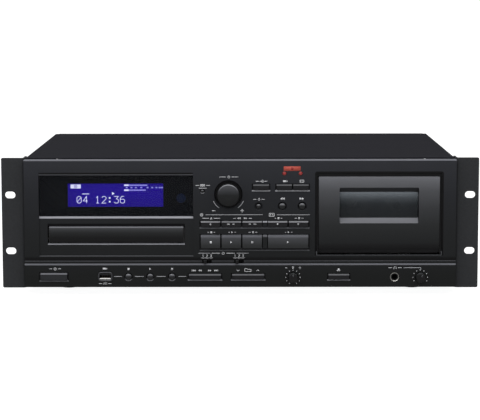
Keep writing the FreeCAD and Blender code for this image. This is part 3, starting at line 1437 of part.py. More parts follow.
def make_cassette_holder():
    """The folded pocket that carries the cassette behind the door."""
    holder = Piece("cassette_holder")
    sheet_metal = s.holder_sheet
    wing = s.door_width / 2 - s.door_side
    low, high = POCKET_LOW - sheet_metal, up(s.holder_high)
    outer = POCKET_HALF + sheet_metal
    end = POCKET_BACK + sheet_metal
    holder.box("Pad", (s.door_x - wing, HOLDER_FRONT, low), (s.door_x + wing, POCKET_FRONT, high + 6))
    hole = s.pane_width / 2 - 2
    holder.box("Pocket", (s.door_x - hole, HOLDER_FRONT, up(s.pane_low) - 2),
               (s.door_x + hole, POCKET_FRONT, up(s.pane_high) + 2))
    hole = POCKET_HALF - s.holder_lip * 3
    holder.box("Pocket", (s.door_x - hole, HOLDER_FRONT, low),
               (s.door_x + hole, POCKET_FRONT, POCKET_LOW + 10))
    for side in (-1, 1):
        wall_in, wall_out = s.door_x + POCKET_HALF * side, s.door_x + outer * side
        lip_in = s.door_x + (POCKET_HALF - s.holder_lip) * side
        shelf_in = s.door_x + hole * side
        for inner, y_low, z_low, y_high, z_high in (
                (wall_in, POCKET_FRONT, low, end, high), (lip_in, POCKET_BACK, low, end, high),
                (shelf_in, POCKET_FRONT, low, POCKET_BACK, POCKET_LOW)):
            left, right = (inner, wall_out) if side > 0 else (wall_out, inner)
            holder.box("Pad", (left, y_low, z_low), (right, y_high, z_high))


def make_tape_deck_plate():
    """The transport's steel plate with its bearings, hinge brackets and motor."""
    plate = Piece("tape_deck_plate")
    half = s.door_width / 2 + s.fit_gap
    bracket = half + s.deck_sheet
    plate.box("Pad", (s.door_x - bracket, DECK, PAN_TOP), (s.door_x + bracket, DECK_BACK, up(s.deck_high)))
    foot = PAN_TOP + s.deck_sheet
    plate.box("Pad", (s.door_x - bracket, DECK_BACK, PAN_TOP), (s.door_x + bracket, DECK_BACK + 14, foot))
    reach = s.hinge_pin + s.run_gap + 2.5
    for side in (-1, 1):
        left = s.door_x + (half if side > 0 else -bracket)
        plate.extrude("Pad", "YZ", left, left + s.deck_sheet, [(bracket_side, reach)])
    plate.extrude("Pocket", "YZ", s.door_x - bracket, s.door_x + bracket,
                  [(circle, HINGE_Y, HINGE_Z, s.hinge_pin + s.run_gap)])
    reels = [s.door_x + s.reel_spread / 2 * side for side in (-1, 1)]
    capstans = [s.door_x + s.capstan_spread / 2 * side for side in (-1, 1)]
    guides = [s.door_x + GUIDE_SPREAD * side for side in (-1, 1)]
    plate.extrude("Pad", "XZ", DECK_BACK, DECK_BACK + 4, [(circle, x, REEL_Z, 4) for x in reels])
    plate.extrude("Pocket", "XZ", DECK, DECK_BACK + 4,
                  [(circle, x, REEL_Z, REEL_SHAFT + s.run_gap) for x in reels])
    holes = [(circle, x, CAPSTAN_Z, s.capstan_radius + s.run_gap) for x in capstans]
    holes += [(rectangle, x - GUIDE - s.run_gap, x + GUIDE + s.run_gap, GUIDE_Z - GUIDE - s.fit_gap,
               GUIDE_Z + s.head_travel + GUIDE + s.fit_gap) for x in guides]
    leg = s.jack_x - s.jack_ring - 6
    holes.append((rectangle, leg, s.phones_knob_x + 8, foot, up(s.strip_high)))
    plate.extrude("Pocket", "XZ", DECK, DECK_BACK, holes)
    plate.extrude("Pad", "XZ", DECK_BACK, DECK_BACK + 26, [(circle, s.door_x, up(s.deck_high) - 16, 14)])


def bracket_side(sketch, reach):
    """The side view of a hinge bracket: a round end about the pin and straight edges to the plate."""
    corners = [(HINGE_Y, HINGE_Z - reach), (DECK + 0.5, HINGE_Z - reach), (DECK + 0.5, HINGE_Z + reach),
               (HINGE_Y, HINGE_Z + reach)]
    outline(sketch, corners[:1] + [(HINGE_Y - reach * 0.7, HINGE_Z - reach * 0.7), (HINGE_Y - reach, HINGE_Z),
                                   (HINGE_Y - reach * 0.7, HINGE_Z + reach * 0.7)] + corners[:0:-1])


REEL_SHAFT = measure(1.5)
GUIDE = measure(1.5)
GUIDE_SPREAD = s.guide_spread / 2
GUIDE_Z = up(s.guide_up)


def make_reel_spindle(label, side):
    """A reel drive: friction disc, hub with fins and a rounded tip, on its shaft."""
    spindle = Piece(label)
    x = s.door_x + s.reel_spread / 2 * side
    disc = DECK - s.fit_gap - 2
    spindle.turned("Revolution", x, REEL_Z, [
        (TAPE_TIP, 0), (TAPE_TIP, 1.2), (TAPE_TIP + 1.6, s.reel_hub), (disc, s.reel_hub), (disc, s.reel_disc),
        (disc + 2, s.reel_disc), (disc + 2, REEL_SHAFT), (DECK_BACK + 3, REEL_SHAFT), (DECK_BACK + 3, 0)])
    half = s.reel_fin_sheet / 2
    for wide, high in ((half, s.reel_fin), (s.reel_fin, half)):
        spindle.box("Pad", (x - wide, TAPE_TIP + 2, REEL_Z - high), (x + wide, disc + half, REEL_Z + high))


def make_capstan(label, side):
    """A capstan shaft with its flywheel behind the plate."""
    capstan = Piece(label)
    x = s.door_x + s.capstan_spread / 2 * side
    wheel = DECK_BACK + s.fit_gap
    radius = s.capstan_radius
    capstan.turned("Revolution", x, CAPSTAN_Z, [
        (TAPE_TIP, 0), (TAPE_TIP, radius), (wheel, radius), (wheel, 4), (wheel + 1.5, 4),
        (wheel + 1.5, s.flywheel_radius), (wheel + 1.5 + s.flywheel_sheet, s.flywheel_radius),
        (wheel + 1.5 + s.flywheel_sheet, 0)])


def make_head_base():
    """The sliding base with the tape head and the two pinch rollers."""
    base = Piece("head_base")
    y_back = DECK - s.fit_gap
    y_front = y_back - 1.2
    half = GUIDE_SPREAD + 4
    base.box("Pad", (s.door_x - half, y_front, GUIDE_Z - 5), (s.door_x + half, y_back, HEAD_Z - 2))
    head = s.head_width / 2
    head_low = HINGE_Z - 7
    base.box("Pad", (s.door_x - head, POCKET_FRONT + 0.5, head_low), (s.door_x + head, y_front, HEAD_Z))
    for side in (-1, 1):
        x = s.door_x + s.capstan_spread / 2 * side
        roller_back = POCKET_FRONT + s.cassette_thick * 0.75
        base.rod("Additive", "XZ", y_front, x, ROLLER_Z, 1.5, y_front - roller_back)
        base.rod("Additive", "XZ", roller_back, x, ROLLER_Z, s.roller_radius, roller_back - ROLLER_FRONT)
        x = s.door_x + GUIDE_SPREAD * side
        base.rod("Additive", "XZ", DECK_BACK + 1.5, x, GUIDE_Z, GUIDE, DECK_BACK + 1.5 - y_back)


ROLLER_FRONT = back(4.1)


MAKERS = [
    make_chassis_pan, make_rear_panel, make_top_cover, lambda: make_rack_ear(-1), lambda: make_rack_ear(1),
    make_feet, make_case_screws, make_front_panel, make_display_window, make_display_module, make_key_board,
    make_main_board, make_power_board, make_line_jacks, make_mains_inlet, make_player_socket,
    make_phones_jack, make_record_lamps, make_level_knob, lambda: make_small_knob("pitch_knob", s.pitch_x),
    lambda: make_small_knob("phones_knob", s.phones_knob_x, PHONES_POINTER),
    lambda: make_slide_switch("start_source_switch", SLIDES[0]),
    lambda: make_slide_switch("start_mode_switch", SLIDES[1]),
    make_tray_front, make_disc_tray, make_loader_frame, make_disc_turntable, make_pickup_sled,
    make_cassette_door, make_door_window, make_cassette_holder, make_tape_deck_plate,
    lambda: make_reel_spindle("reel_spindle_left", -1), lambda: make_reel_spindle("reel_spindle_right", 1),
    lambda: make_capstan("capstan_left", -1), lambda: make_capstan("capstan_right", 1), make_head_base,
]
MAKERS += [part.make for part in KEYS + ROCKERS + BUTTONS]


def check(thing):
    """Stops when an object of the document has failed."""
    if "Invalid" in thing.State or "Error" in thing.State:
        sys.exit(f"{thing.Name} failed: {thing.State}")


def write_parts():
    """Recomputes, checks every object and writes each piece to its own file."""
    doc.recompute()
    for thing in doc.Objects:
        check(thing)
    os.makedirs("parts", exist_ok=True)
    bodies = [thing for thing in doc.Objects if thing.TypeId == "PartDesign::Body"]
    for body in bodies:
        if body.Shape.isNull() or not body.Shape.isValid():
            sys.exit(f"{body.Label} has no valid shape")
        body.Shape.exportStep(f"parts/{body.Label}.step")
    print(f"{len(bodies)} pieces written", flush=True)


for maker in MAKERS:
    maker()
write_parts()
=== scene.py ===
"""The looks of a rack-mounted cd and cassette deck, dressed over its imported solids.

Lengths are in millimetres until a mesh is made. X runs to the viewer's right, Y from the front to
the back and Z up from the surface that the feet stand on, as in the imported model.
"""

import logging
import math
from dataclasses import dataclass, field
from enum import Enum
from typing import Callable, Iterable, Sequence

import bmesh
import bpy
import numpy as np
from mathutils import Matrix, Vector

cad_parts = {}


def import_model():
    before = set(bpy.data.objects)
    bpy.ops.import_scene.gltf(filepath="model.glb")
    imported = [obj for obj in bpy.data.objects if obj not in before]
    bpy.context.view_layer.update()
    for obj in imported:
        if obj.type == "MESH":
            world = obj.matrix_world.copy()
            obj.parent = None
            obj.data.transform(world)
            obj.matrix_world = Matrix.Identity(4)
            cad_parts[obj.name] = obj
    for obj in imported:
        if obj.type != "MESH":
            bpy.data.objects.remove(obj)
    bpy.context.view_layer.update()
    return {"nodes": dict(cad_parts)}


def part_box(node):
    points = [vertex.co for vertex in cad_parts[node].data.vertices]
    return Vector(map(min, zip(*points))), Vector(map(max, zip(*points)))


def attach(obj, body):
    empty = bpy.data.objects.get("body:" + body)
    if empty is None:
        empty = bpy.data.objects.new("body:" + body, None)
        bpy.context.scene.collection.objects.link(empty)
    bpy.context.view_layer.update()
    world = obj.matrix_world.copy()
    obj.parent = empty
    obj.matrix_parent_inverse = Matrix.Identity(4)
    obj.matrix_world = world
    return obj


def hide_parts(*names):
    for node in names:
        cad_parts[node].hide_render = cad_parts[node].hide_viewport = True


Grid = np.ndarray
Place = tuple[float, float]
Point = tuple[float, float, float]
Stops = tuple[tuple[float, str], ...]

MM = 0.001
# The depths of the panel's main face and of the lower strip's, and the heights where the ledge
# between them starts and ends.
FACE_Y = -148.5
STRIP_Y = -151.1
LEDGE_Z = (30.2, 31.8)
# How far behind those faces a hollow starts to take its own painted colour, and where it has it
# whole: painted shade in the panel's wells, and a tone a little lighter on the ledges in the door's gap.
HOLLOW_BEHIND = (0.9, 1.15)
# How far ink lies over its face, and how thick it is.
INK_LIFT = 0.05
INK_THICK = INK_LIFT * 0.8
# The middles of the three knobs, which their scales share.
LEVEL_KNOB_AT = (-11.7, 102.0)
PITCH_KNOB_AT = (53.4, 17.9)
PHONES_KNOB_AT = (181.8, 17.9)
TO_FRONT = (0.0, -1.0, 0.0)
# The sides and the foot of the cassette door's opening.
DOOR_LEFT, DOOR_RIGHT, DOOR_LOW = 77.0, 203.2, 39.9
# Edges sharper than this, in degrees, stay sharp, and points nearer than the weld, in metres, are one.
SHARP_EDGE = 35
WELD = 1e-7

log = logging.getLogger("deck")


# Materials

def linear(colour: str) -> tuple[float, float, float, float]:
    """Turn an sRGB hex colour into the linear colour that the shader takes.

    Args:
        colour: the colour as six hex digits after a hash.

    Returns:
        Linear red, green, blue and an opacity of 1.
    """
    parts = np.array([int(colour[n:n + 2], 16) for n in (1, 3, 5)]) / 255
    red, green, blue = np.where(parts <= 0.04045, parts / 12.92, ((parts + 0.055) / 1.055) ** 2.4)
    return float(red), float(green), float(blue), 1.0


def add(tree: bpy.types.NodeTree, kind: str, inputs: dict | None = None,
        **settings: object) -> bpy.types.Node:
    """Add a node with its settings, constants and links.

    Args:
        tree: the material's node tree.
        kind: the node's type name.
        inputs: a socket to link or a constant to set, by the input's name or number.
        settings: the node's own settings.

    Returns:
        The new node.
    """
    node = tree.nodes.new(kind)
    for name, value in settings.items():
        setattr(node, name, value)
    for name, value in (inputs or {}).items():
        if isinstance(value, bpy.types.NodeSocket):
            tree.links.new(value, node.inputs[name])
        else:
            node.inputs[name].default_value = value
    return node


class Pattern(Enum):
    """What a surface shows close up."""

    GRAIN = "even fine grain"
    BRUSHED = "fine lines along X"
    SPANGLE = "crystals of zinc"
    TRACKS = "printed tracks"
    CELLS = "character cells"


@dataclass(frozen=True)
class Finish:
    """A material of the real deck, by what it is and how its surface was made.

    The colours of the face, the walls and the faces that point up may change with height: they are then
    stops of height in millimetres and colour, from the highest down, which paint light and shade on the
    surface. The walls' colour is mostly a painted shade, whole where the normal points ahead by
    wall_from or less, and the face's where it does by wall_full or more. The colour of the faces that
    point up is a painted highlight, which starts where the normal points up by bevel_from and is whole
    at bevel_full. Where the walls stay dark, only the part of that highlight which faces ahead is light.
    The hollow colour is painted on what lies over a millimetre behind the panel's faces, such as the
    floors of wells: a painted shade there, and on the ledges in the door's gap a tone a little lighter
    than the rim's.
    """

    name: str
    face: str | Stops
    rough: float
    grain_mm: float = 0.6
    relief_mm: float = 0.01
    shade: float = 0.12
    pattern: Pattern = Pattern.GRAIN
    metallic: float = 0.0
    ior: float = 1.5
    specular: float = 0.5
    coat: float = 0.0
    alpha: float = 1.0
    glow: float = 0.0
    wall: str | Stops | None = None
    wall_from: float = 0.35
    wall_full: float = 0.85
    walls_stay_dark: bool = False
    bevel_highlight: str | Stops | None = None
    bevel_from: float = 0.25
    bevel_full: float = 0.72
    hollow: str | None = None

    def material(self) -> bpy.types.Material:
        """Make the material once, and give the same one again after that.

        Returns:
            The material of this finish.
        """
        made = bpy.data.materials.get(self.name)
        if made is not None:
            return made
        made = bpy.data.materials.new(self.name)
        made.use_nodes = True
        tree = made.node_tree
        tree.nodes.clear()
        height = self.height(tree)
        tint = self.tint(tree, height)
        sheen = add(tree, "ShaderNodeMapRange", {
            "Value": height, "To Min": self.rough * 0.9, "To Max": min(1.0, self.rough * 1.1)})
        bump = add(tree, "ShaderNodeBump", {
            "Height": height, "Distance": self.relief_mm * MM, "Strength": 1.0})
        surface = add(tree, "ShaderNodeBsdfPrincipled", {
            "Base Color": tint, "Roughness": sheen.outputs[0], "Normal": bump.outputs[0],
            "Metallic": self.metallic, "IOR": self.ior, "Specular IOR Level": self.specular,
            "Coat Weight": self.coat, "Coat Roughness": 0.08, "Alpha": self.alpha,
            "Emission Strength": self.glow})
        if self.glow:
            tree.links.new(tint, surface.inputs["Emission Color"])
        add(tree, "ShaderNodeOutputMaterial", {"Surface": surface.outputs[0]})
        return made

    def tint(self, tree: bpy.types.NodeTree, height: bpy.types.NodeSocket) -> bpy.types.NodeSocket:
        """Build the colour: the faces' painted light and shade, the walls' painted shade, the painted
        highlights where faces point up, and the pattern's shade over them.

        Args:
            tree: the material's node tree.
            height: the pattern.

        Returns:
            The socket with the colour.
        """
        colour = self.graded(tree, self.face)
        # Hollows take their painted tone: shade in the panel's wells, a lighter tone on the door gap's
        # ledges.
        if self.hollow:
            colour = add(tree, "ShaderNodeMix", {0: self.sunk(tree), 6: colour, 7: linear(self.hollow)},
                         data_type="RGBA").outputs[2]
        # Walls take a painted shade, and faces that point up a painted highlight, by where the normal points.
        if self.wall or self.bevel_highlight:
            normal = add(tree, "ShaderNodeNewGeometry").outputs["Normal"]
            way = add(tree, "ShaderNodeSeparateXYZ", {0: normal}).outputs
            ahead = add(tree, "ShaderNodeMapRange", {
                "Value": way["Y"], "From Min": -self.wall_from, "From Max": -self.wall_full}).outputs[0]
            if self.wall:
                colour = add(tree, "ShaderNodeMix", {0: ahead, 6: self.graded(tree, self.wall), 7: colour},
                             data_type="RGBA").outputs[2]
            if self.bevel_highlight:
                tilt = add(tree, "ShaderNodeMapRange", {
                    "Value": way["Z"], "From Min": self.bevel_from, "From Max": self.bevel_full}).outputs[0]
                if self.walls_stay_dark:
                    tilt = add(tree, "ShaderNodeMath", {0: tilt, 1: ahead}, operation="MULTIPLY").outputs[0]
                colour = add(tree, "ShaderNodeMix", {0: tilt, 6: colour, 7: self.graded(tree, self.bevel_highlight)},
                             data_type="RGBA").outputs[2]
        shade = add(tree, "ShaderNodeMapRange", {
            "Value": height, "To Min": 1 - self.shade, "To Max": 1 + self.shade})
        return add(tree, "ShaderNodeMix", {0: 1.0, 6: colour, 7: shade.outputs[0]}, data_type="RGBA",
                   blend_type="MULTIPLY").outputs[2]

    @staticmethod
    def sunk(tree: bpy.types.NodeTree) -> bpy.types.NodeSocket:
        """Tell what lies behind the panel's faces from the faces themselves, to place the painted hollow
        colour.

        The strip's face stands before the main one, and the step between them is at the ledge.

        Args:
            tree: the material's node tree.

        Returns:
            A socket that is 0 near the face and 1 in a hollow.
        """
        start, end = HOLLOW_BEHIND
        place = add(tree, "ShaderNodeTexCoord").outputs["Object"]
        way = add(tree, "ShaderNodeSeparateXYZ", {0: place}).outputs
        face = add(tree, "ShaderNodeMapRange", {
            "Value": way["Z"], "From Min": LEDGE_Z[0] * MM, "From Max": LEDGE_Z[1] * MM,
            "To Min": STRIP_Y * MM, "To Max": FACE_Y * MM}).outputs[0]
        behind = add(tree, "ShaderNodeMath", {0: way["Y"], 1: face}, operation="SUBTRACT").outputs[0]
        return add(tree, "ShaderNodeMapRange", {
            "Value": behind, "From Min": start * MM, "From Max": end * MM}).outputs[0]

    @staticmethod
    def graded(tree: bpy.types.NodeTree, colour: str | Stops) -> tuple | bpy.types.NodeSocket:
        """Give one colour, or blend from stop to stop down the object to paint light and shade by height.

        Args:
            tree: the material's node tree.
            colour: an sRGB hex colour, or stops of height and colour.

        Returns:
            The linear colour, or the socket that carries the blend.
        """
        if isinstance(colour, str):
            return linear(colour)
        top, foot = colour[0][0], colour[-1][0]
        place = add(tree, "ShaderNodeTexCoord").outputs["Object"]
        level = add(tree, "ShaderNodeSeparateXYZ", {0: place}).outputs["Z"]
        down = add(tree, "ShaderNodeMapRange", {
            "Value": level, "From Min": top * MM, "From Max": foot * MM}).outputs[0]
        blend = add(tree, "ShaderNodeValToRGB", {0: down})
        steps = blend.color_ramp.elements
        for n, (level_mm, shown) in enumerate(colour):
            place_down = (top - level_mm) / (top - foot)
            step = steps[n] if n < 1 else steps[-1] if n == len(colour) - 1 else steps.new(place_down)
            step.position, step.color = place_down, linear(shown)
        return blend.outputs[0]

    def height(self, tree: bpy.types.NodeTree) -> bpy.types.NodeSocket:
        """Build the pattern that gives the shade, the sheen and the relief.

        Brushed lines run 50 times as long as they are wide. The grain is mostly fine noise, with
        some that is 60 times as wide for the slow unevenness of a moulding.

        Args:
            tree: the material's node tree.

        Returns:
            A socket from 0 in the pattern's hollows to 1 on its tops.
        """
        place = add(tree, "ShaderNodeTexCoord").outputs["Object"]
        scale = 1 / (self.grain_mm * MM)
        if self.pattern is Pattern.BRUSHED:
            drawn = add(tree, "ShaderNodeMapping", {"Vector": place, "Scale": (0.02, 1.0, 1.0)})
            return add(tree, "ShaderNodeTexNoise", {
                "Vector": drawn.outputs[0], "Scale": scale, "Detail": 3.0}).outputs[0]
        if self.pattern is Pattern.SPANGLE:
            return add(tree, "ShaderNodeTexVoronoi", {"Vector": place, "Scale": scale}).outputs["Color"]
        if self.pattern is Pattern.TRACKS:
            flat = add(tree, "ShaderNodeTexVoronoi", {"Vector": place, "Scale": scale},
                       distance="MANHATTAN").outputs["Distance"]
            return add(tree, "ShaderNodeMath", {0: flat, 1: 0.5}, operation="PINGPONG").outputs[0]
        if self.pattern is Pattern.CELLS:
            turned = add(tree, "ShaderNodeMapping", {"Vector": place, "Rotation": (math.pi / 2, 0.0, 0.0)})
            return add(tree, "ShaderNodeTexBrick", {
                "Vector": turned.outputs[0], "Scale": scale, "Color1": (1, 1, 1, 1),
                "Color2": (0.92, 0.92, 0.92, 1), "Mortar": (0, 0, 0, 1), "Mortar Size": 0.03,
                "Brick Width": 1.0, "Row Height": 1.6}, offset=0.0).outputs[0]
        fine, wide = (
            add(tree, "ShaderNodeTexNoise", {"Vector": place, "Scale": fineness, "Detail": detail}).outputs[0]
            for fineness, detail in ((scale, 2.0), (scale / 60, 1.0)))
        return add(tree, "ShaderNodeMix", {0: 0.3, 2: fine, 3: wide}).outputs[0]


# Steel under a textured powder coat: a matt, pebbled black.
EAR_COAT = Finish("powder_coated_ears", "#2a2b2d", 0.66, grain_mm=1.6, relief_mm=0.05, shade=0.35,
                  specular=0.1)
# The same coat on the cover, sprayed finer: a flat black.
COVER_COAT = Finish("powder_coated_cover", "#1e1e22", 0.85, grain_mm=0.6, relief_mm=0.03, specular=0.02)
# Black coated steel of the tape deck's plate and holder: satin, and almost without light.
DECK_COAT = Finish("black_coated_steel", "#101011", 0.6, grain_mm=0.6, relief_mm=0.02, specular=0.1)
# Hot-dip galvanised sheet: grey crystals, each with its own sheen.
GALVANISED = Finish("galvanised_sheet", "#a7aaac", 0.42, grain_mm=9, relief_mm=0.002,
                    pattern=Pattern.SPANGLE, metallic=1.0)
# Moulded ABS with a spark-eroded grain on its faces. The faces are painted lighter toward the top, with
# a dark band of painted shade above the lower strip; the walls and wells carry painted shade, and the
# chamfers painted highlights, light lines on the broad ones and dim ones in the wells.
PANEL_ABS = Finish(
    "moulded_abs_panel",
    ((134, "#2b2c30"), (100, "#222326"), (60, "#1d1e1f"), (39, "#1b1c1d"), (37.2, "#0e0e0f"),
     (34.8, "#0e0e0f"), (33, "#1b1c1d"), (20, "#181919")),
    0.45, grain_mm=0.5, relief_mm=0.012, specular=0.05, wall="#0b0b0c", hollow="#101011",
    bevel_highlight=((136, "#5f6066"), (132, "#3c3d40"), (109, "#3c3d40"), (107, "#9a9ba0"), (104, "#9a9ba0"),
           (100, "#2c2d2f"), (83, "#2c2d2f"), (80, "#8f9096"), (76, "#8f9096"), (68, "#5c5d61"),
           (56, "#5c5d61"), (52.7, "#1c1d1e"), (51.5, "#87888e"), (48, "#87888e"), (46, "#4c4d50"),
           (35, "#3c3d40"), (33.4, "#3c3d40"), (32, "#5a5b60"), (28, "#5a5b60"), (20, "#6a6b70"),
           (15, "#75767b"), (13.6, "#4c4d50")))
# The rim of the door's opening and the line over the display: painted shade, the same plastic
# coloured near black where shade falls along those edges. On the ledges in the door's gap the
# hollow colour is a little lighter, still a dark sheet set where the gap shows only shade.
SURROUND_SHADE_ABS = Finish("door_surround_painted_shade_and_light", "#111112", 0.5, relief_mm=0.008, specular=0.05,
                      hollow="#1b1b1c")
# The lower lip of that opening, painted a light grey as a highlight along the edge, lighter still
# where it faces up: one thin light line.
LIP_HIGHLIGHT_ABS = Finish("door_lip_painted_highlight", "#3b3c3f", 0.35, relief_mm=0.004, specular=0.1, bevel_highlight="#434447")
# The bezel of the data socket: satin plastic painted a light grey as the highlight along the
# socket's rounded edge, lighter still where it faces up.
BEZEL_HIGHLIGHT_ABS = Finish("socket_bezel_painted_highlight", "#3f4043", 0.4, relief_mm=0.005, specular=0.1, bevel_highlight="#6a6b6f")
# Felt strip in the gap over the drawer, matt and hairy: a near-black sheet set as painted shade
# where the gap shows only shade.
GAP_SHADE_FELT = Finish("drawer_gap_painted_shade_felt", "#18181a", 0.95, grain_mm=0.3, relief_mm=0.05, shade=0.2,
                   specular=0.05)
# Key caps, the same plastic from a smoother tool, with painted highlights on the edges that face up,
# lightest at the height of the thin keys, and painted shade on their walls.
KEY_ABS = Finish("moulded_abs_keys", "#151517", 0.38, grain_mm=0.5, relief_mm=0.006, specular=0.1,
                 wall="#0a0a0b", wall_from=0.6, wall_full=0.92, walls_stay_dark=True,
                 bevel_highlight=((112, "#77787c"), (78, "#bdbec4"), (66, "#bdbec4"), (22, "#8d8e93")),
                 bevel_from=0.05, bevel_full=0.3)
# The power key's cap from the same tool: an even charcoal, with a dim painted highlight on its upper
# edge and painted shade on its walls.
POWER_KEY_ABS = Finish("moulded_abs_power_key", "#232426", 0.38, grain_mm=0.5, relief_mm=0.006,
                       specular=0.1, wall="#0d0d0e", bevel_highlight="#606166")
# The wide keys' caps, satin: their fronts are painted lighter where the light from above falls and
# darker to the foot, with painted shade on their walls and a painted highlight on their upper edges.
WIDE_KEY_ABS = Finish("moulded_abs_wide_keys",
                      ((61, "#4b4c50"), (59, "#414246"), (57, "#3b3c3f"), (53.5, "#323335"),
                       (50.5, "#272829"), (47, "#1f2021")),
                      0.38, grain_mm=0.5, relief_mm=0.006, specular=0.1, wall="#0d0d0e", bevel_highlight="#55565b")
# Round buttons, polished: a painted highlight on the upper side of each dome, and painted shade
# toward its rim.
ROUND_BUTTON_ABS = Finish("moulded_round_buttons", "#141516", 0.3, grain_mm=0.4, relief_mm=0.003,
                          specular=0.15, wall="#101011", wall_from=0.15, wall_full=0.6,
                          walls_stay_dark=True, bevel_highlight="#7b7c81", bevel_from=0.1, bevel_full=0.65)
# Knobs in a darker satin plastic, with a painted highlight on the side that faces up.
KNOB_ABS = Finish("moulded_abs_knobs", "#0e0e0f", 0.38, grain_mm=0.4, relief_mm=0.006, specular=0.1,
                  bevel_highlight="#37383a", bevel_from=0.3, bevel_full=0.95)
# The level knob's larger moulding: its front is painted lighter at the top, its walls carry painted
# shade and its side that faces up a painted highlight.
LEVEL_KNOB_ABS = Finish("moulded_level_knob",
                        ((111, "#414245"), (106, "#2e2f32"), (102, "#161718"), (91, "#0d0d0e")),
                        0.38, grain_mm=0.4, relief_mm=0.006, specular=0.1, wall="#161617", wall_from=0.1,
                        wall_full=0.45, walls_stay_dark=True, bevel_highlight="#8a8b90", bevel_from=0.25,
                        bevel_full=0.8)
# The cassette door, painted charcoal with a fine metal flake. A painted sheen makes it lighter toward
# its top, its walls carry painted shade that turns lighter at its foot, and the edges that face up
# carry painted highlights.
DOOR_PAINT = Finish("flake_painted_door",
                    ((119, "#67686d"), (115, "#5c5d61"), (105, "#48494c"), (88, "#343537"), (70, "#262728"),
                     (53, "#1d1e1f"), (50, "#181819"), (43, "#161617")), 0.45,
                    grain_mm=0.35, relief_mm=0.004, specular=0.05, wall_from=0.5, wall_full=0.9,
                    wall=((110, "#060607"), (60, "#060607"), (52, "#232324"), (43, "#464648")),
                    bevel_highlight=((119, "#8e8f94"), (100, "#7a7b80"), (78, "#75767b"), (60, "#2c2d2f")))
# The drawer's front, moulded black and hollowed: painted grey along its top and black at its foot as
# light and shade, with painted shade on its walls and a painted highlight on the edges that face up.
TRAY_FRONT_ABS = Finish("moulded_tray_front",
                        ((69, "#46474a"), (66, "#303133"), (63, "#1f2021"), (58, "#0e0e0f"),
                         (54, "#0a0a0b")),
                        0.40, grain_mm=0.5, relief_mm=0.008, specular=0.08, wall="#0a0a0b",
                        bevel_highlight="#67686d")
# The tray itself, the same black plastic in plain satin.
TRAY_ABS = Finish("moulded_tray", "#1a1a1c", 0.40, grain_mm=0.5, relief_mm=0.008, specular=0.3)
# Glass-filled moulding of the drive's frame: dull dark grey.
DRIVE_MOULDING = Finish("glass_filled_moulding", "#141415", 0.55, grain_mm=1.2, relief_mm=0.02)
# Smoked cast acrylic: almost black until something behind it is lit, with a painted highlight on its
# edges that face up.
SMOKED_ACRYLIC = Finish("smoked_acrylic", "#15171b", 0.08, grain_mm=40, relief_mm=0.0, ior=1.49,
                        alpha=0.5, specular=0.06, bevel_highlight="#55565b")
# Tinted acrylic of the door's pane, with a painted reflection: pale along its upper edge, deep grey
# below.
DOOR_ACRYLIC = Finish("tinted_acrylic",
                      ((103.5, "#848b91"), (101, "#777e84"), (99.5, "#6a7076"), (97.5, "#565c61"),
                       (95.5, "#474c50"), (93.5, "#3b3f43"), (91.5, "#313538"), (88, "#2a2d30"),
                       (76, "#282b2d")),
                      0.12, grain_mm=40, relief_mm=0.0, ior=1.49, alpha=0.6, specular=0.06)
# The remote sensor's filter behind the smoked window: a very dark blue.
SENSOR_FILTER = Finish("sensor_filter", "#294482", 0.5, relief_mm=0.0, specular=0.1)
# Glass epoxy board under green solder mask: a glossy green with darker tracks.
GREEN_BOARD = Finish("solder_masked_board", "#1f5a34", 0.35, grain_mm=2.6, relief_mm=0.02, shade=0.3,
                     pattern=Pattern.TRACKS)
# Phenolic paper board of the supply: dull brown, its tracks showing through.
PAPER_BOARD = Finish("paper_board", "#8a6a3c", 0.6, grain_mm=3.0, relief_mm=0.01, shade=0.2,
                     pattern=Pattern.TRACKS)
# The keys' board under black solder mask: matt, with faint tracks.
BLACK_BOARD = Finish("black_masked_board", "#111213", 0.5, grain_mm=3.0, relief_mm=0.01, shade=0.2,
                     pattern=Pattern.TRACKS, specular=0.2)
# Blackened sheet of the display's frame, which hides behind the smoked window.
DISPLAY_METAL = Finish("blackened_display_frame", "#101012", 0.6, specular=0.1)
# The display's liquid crystal over its lamp: a lit indigo field with faint cells.
LIT_FIELD = Finish("lit_display_field", "#3a1be4", 0.5, grain_mm=5.0, relief_mm=0.0, shade=0.2,
                   pattern=Pattern.CELLS, glow=0.75, specular=0.0)
# Its clear segments, where the lamp shines through: nearly white digits, and a dimmer scale.
LIT_MARKS = Finish("lit_display_marks", "#cfd0f2", 0.5, shade=0.03, relief_mm=0.0, glow=4.2, specular=0.0)
LIT_SCALE = Finish("lit_display_scale", "#9894f2", 0.5, shade=0.03, relief_mm=0.0, glow=3.0, specular=0.0)
# Tinted red lens of a lamp that is off: deep red, with painted shade round its side.
LAMP_LENS = Finish("red_lamp_lens", "#8a120e", 0.25, grain_mm=1.0, relief_mm=0.0, coat=0.1, specular=0.3,
                   wall="#2c0705", wall_from=0.5, wall_full=0.98)
# Nickel plating of the line sockets' shells: a warm bright metal.
NICKEL = Finish("nickel_plating", "#8f8d89", 0.28, grain_mm=0.3, relief_mm=0.001, shade=0.05, metallic=1.0)
# Black nylon of the connectors: dull and even.
CONNECTOR_NYLON = Finish("connector_nylon", "#141415", 0.5)
# The insulating rings of the line sockets: white for the left channel, red for the right.
WHITE_RING = Finish("white_jack_ring", "#cfcfc9", 0.4, shade=0.04)
RED_RING = Finish("red_jack_ring", "#9c1f1a", 0.4, shade=0.04)
# Uncoloured nylon of the data socket's tongue: milky white.
PALE_NYLON = Finish("uncoloured_nylon", "#dededb", 0.45, shade=0.04)
# Blackened steel of the data socket's shell: dark, with a faint sheen.
SOCKET_STEEL = Finish("blackened_socket_shell", "#333335", 0.4, relief_mm=0.002, specular=0.3)
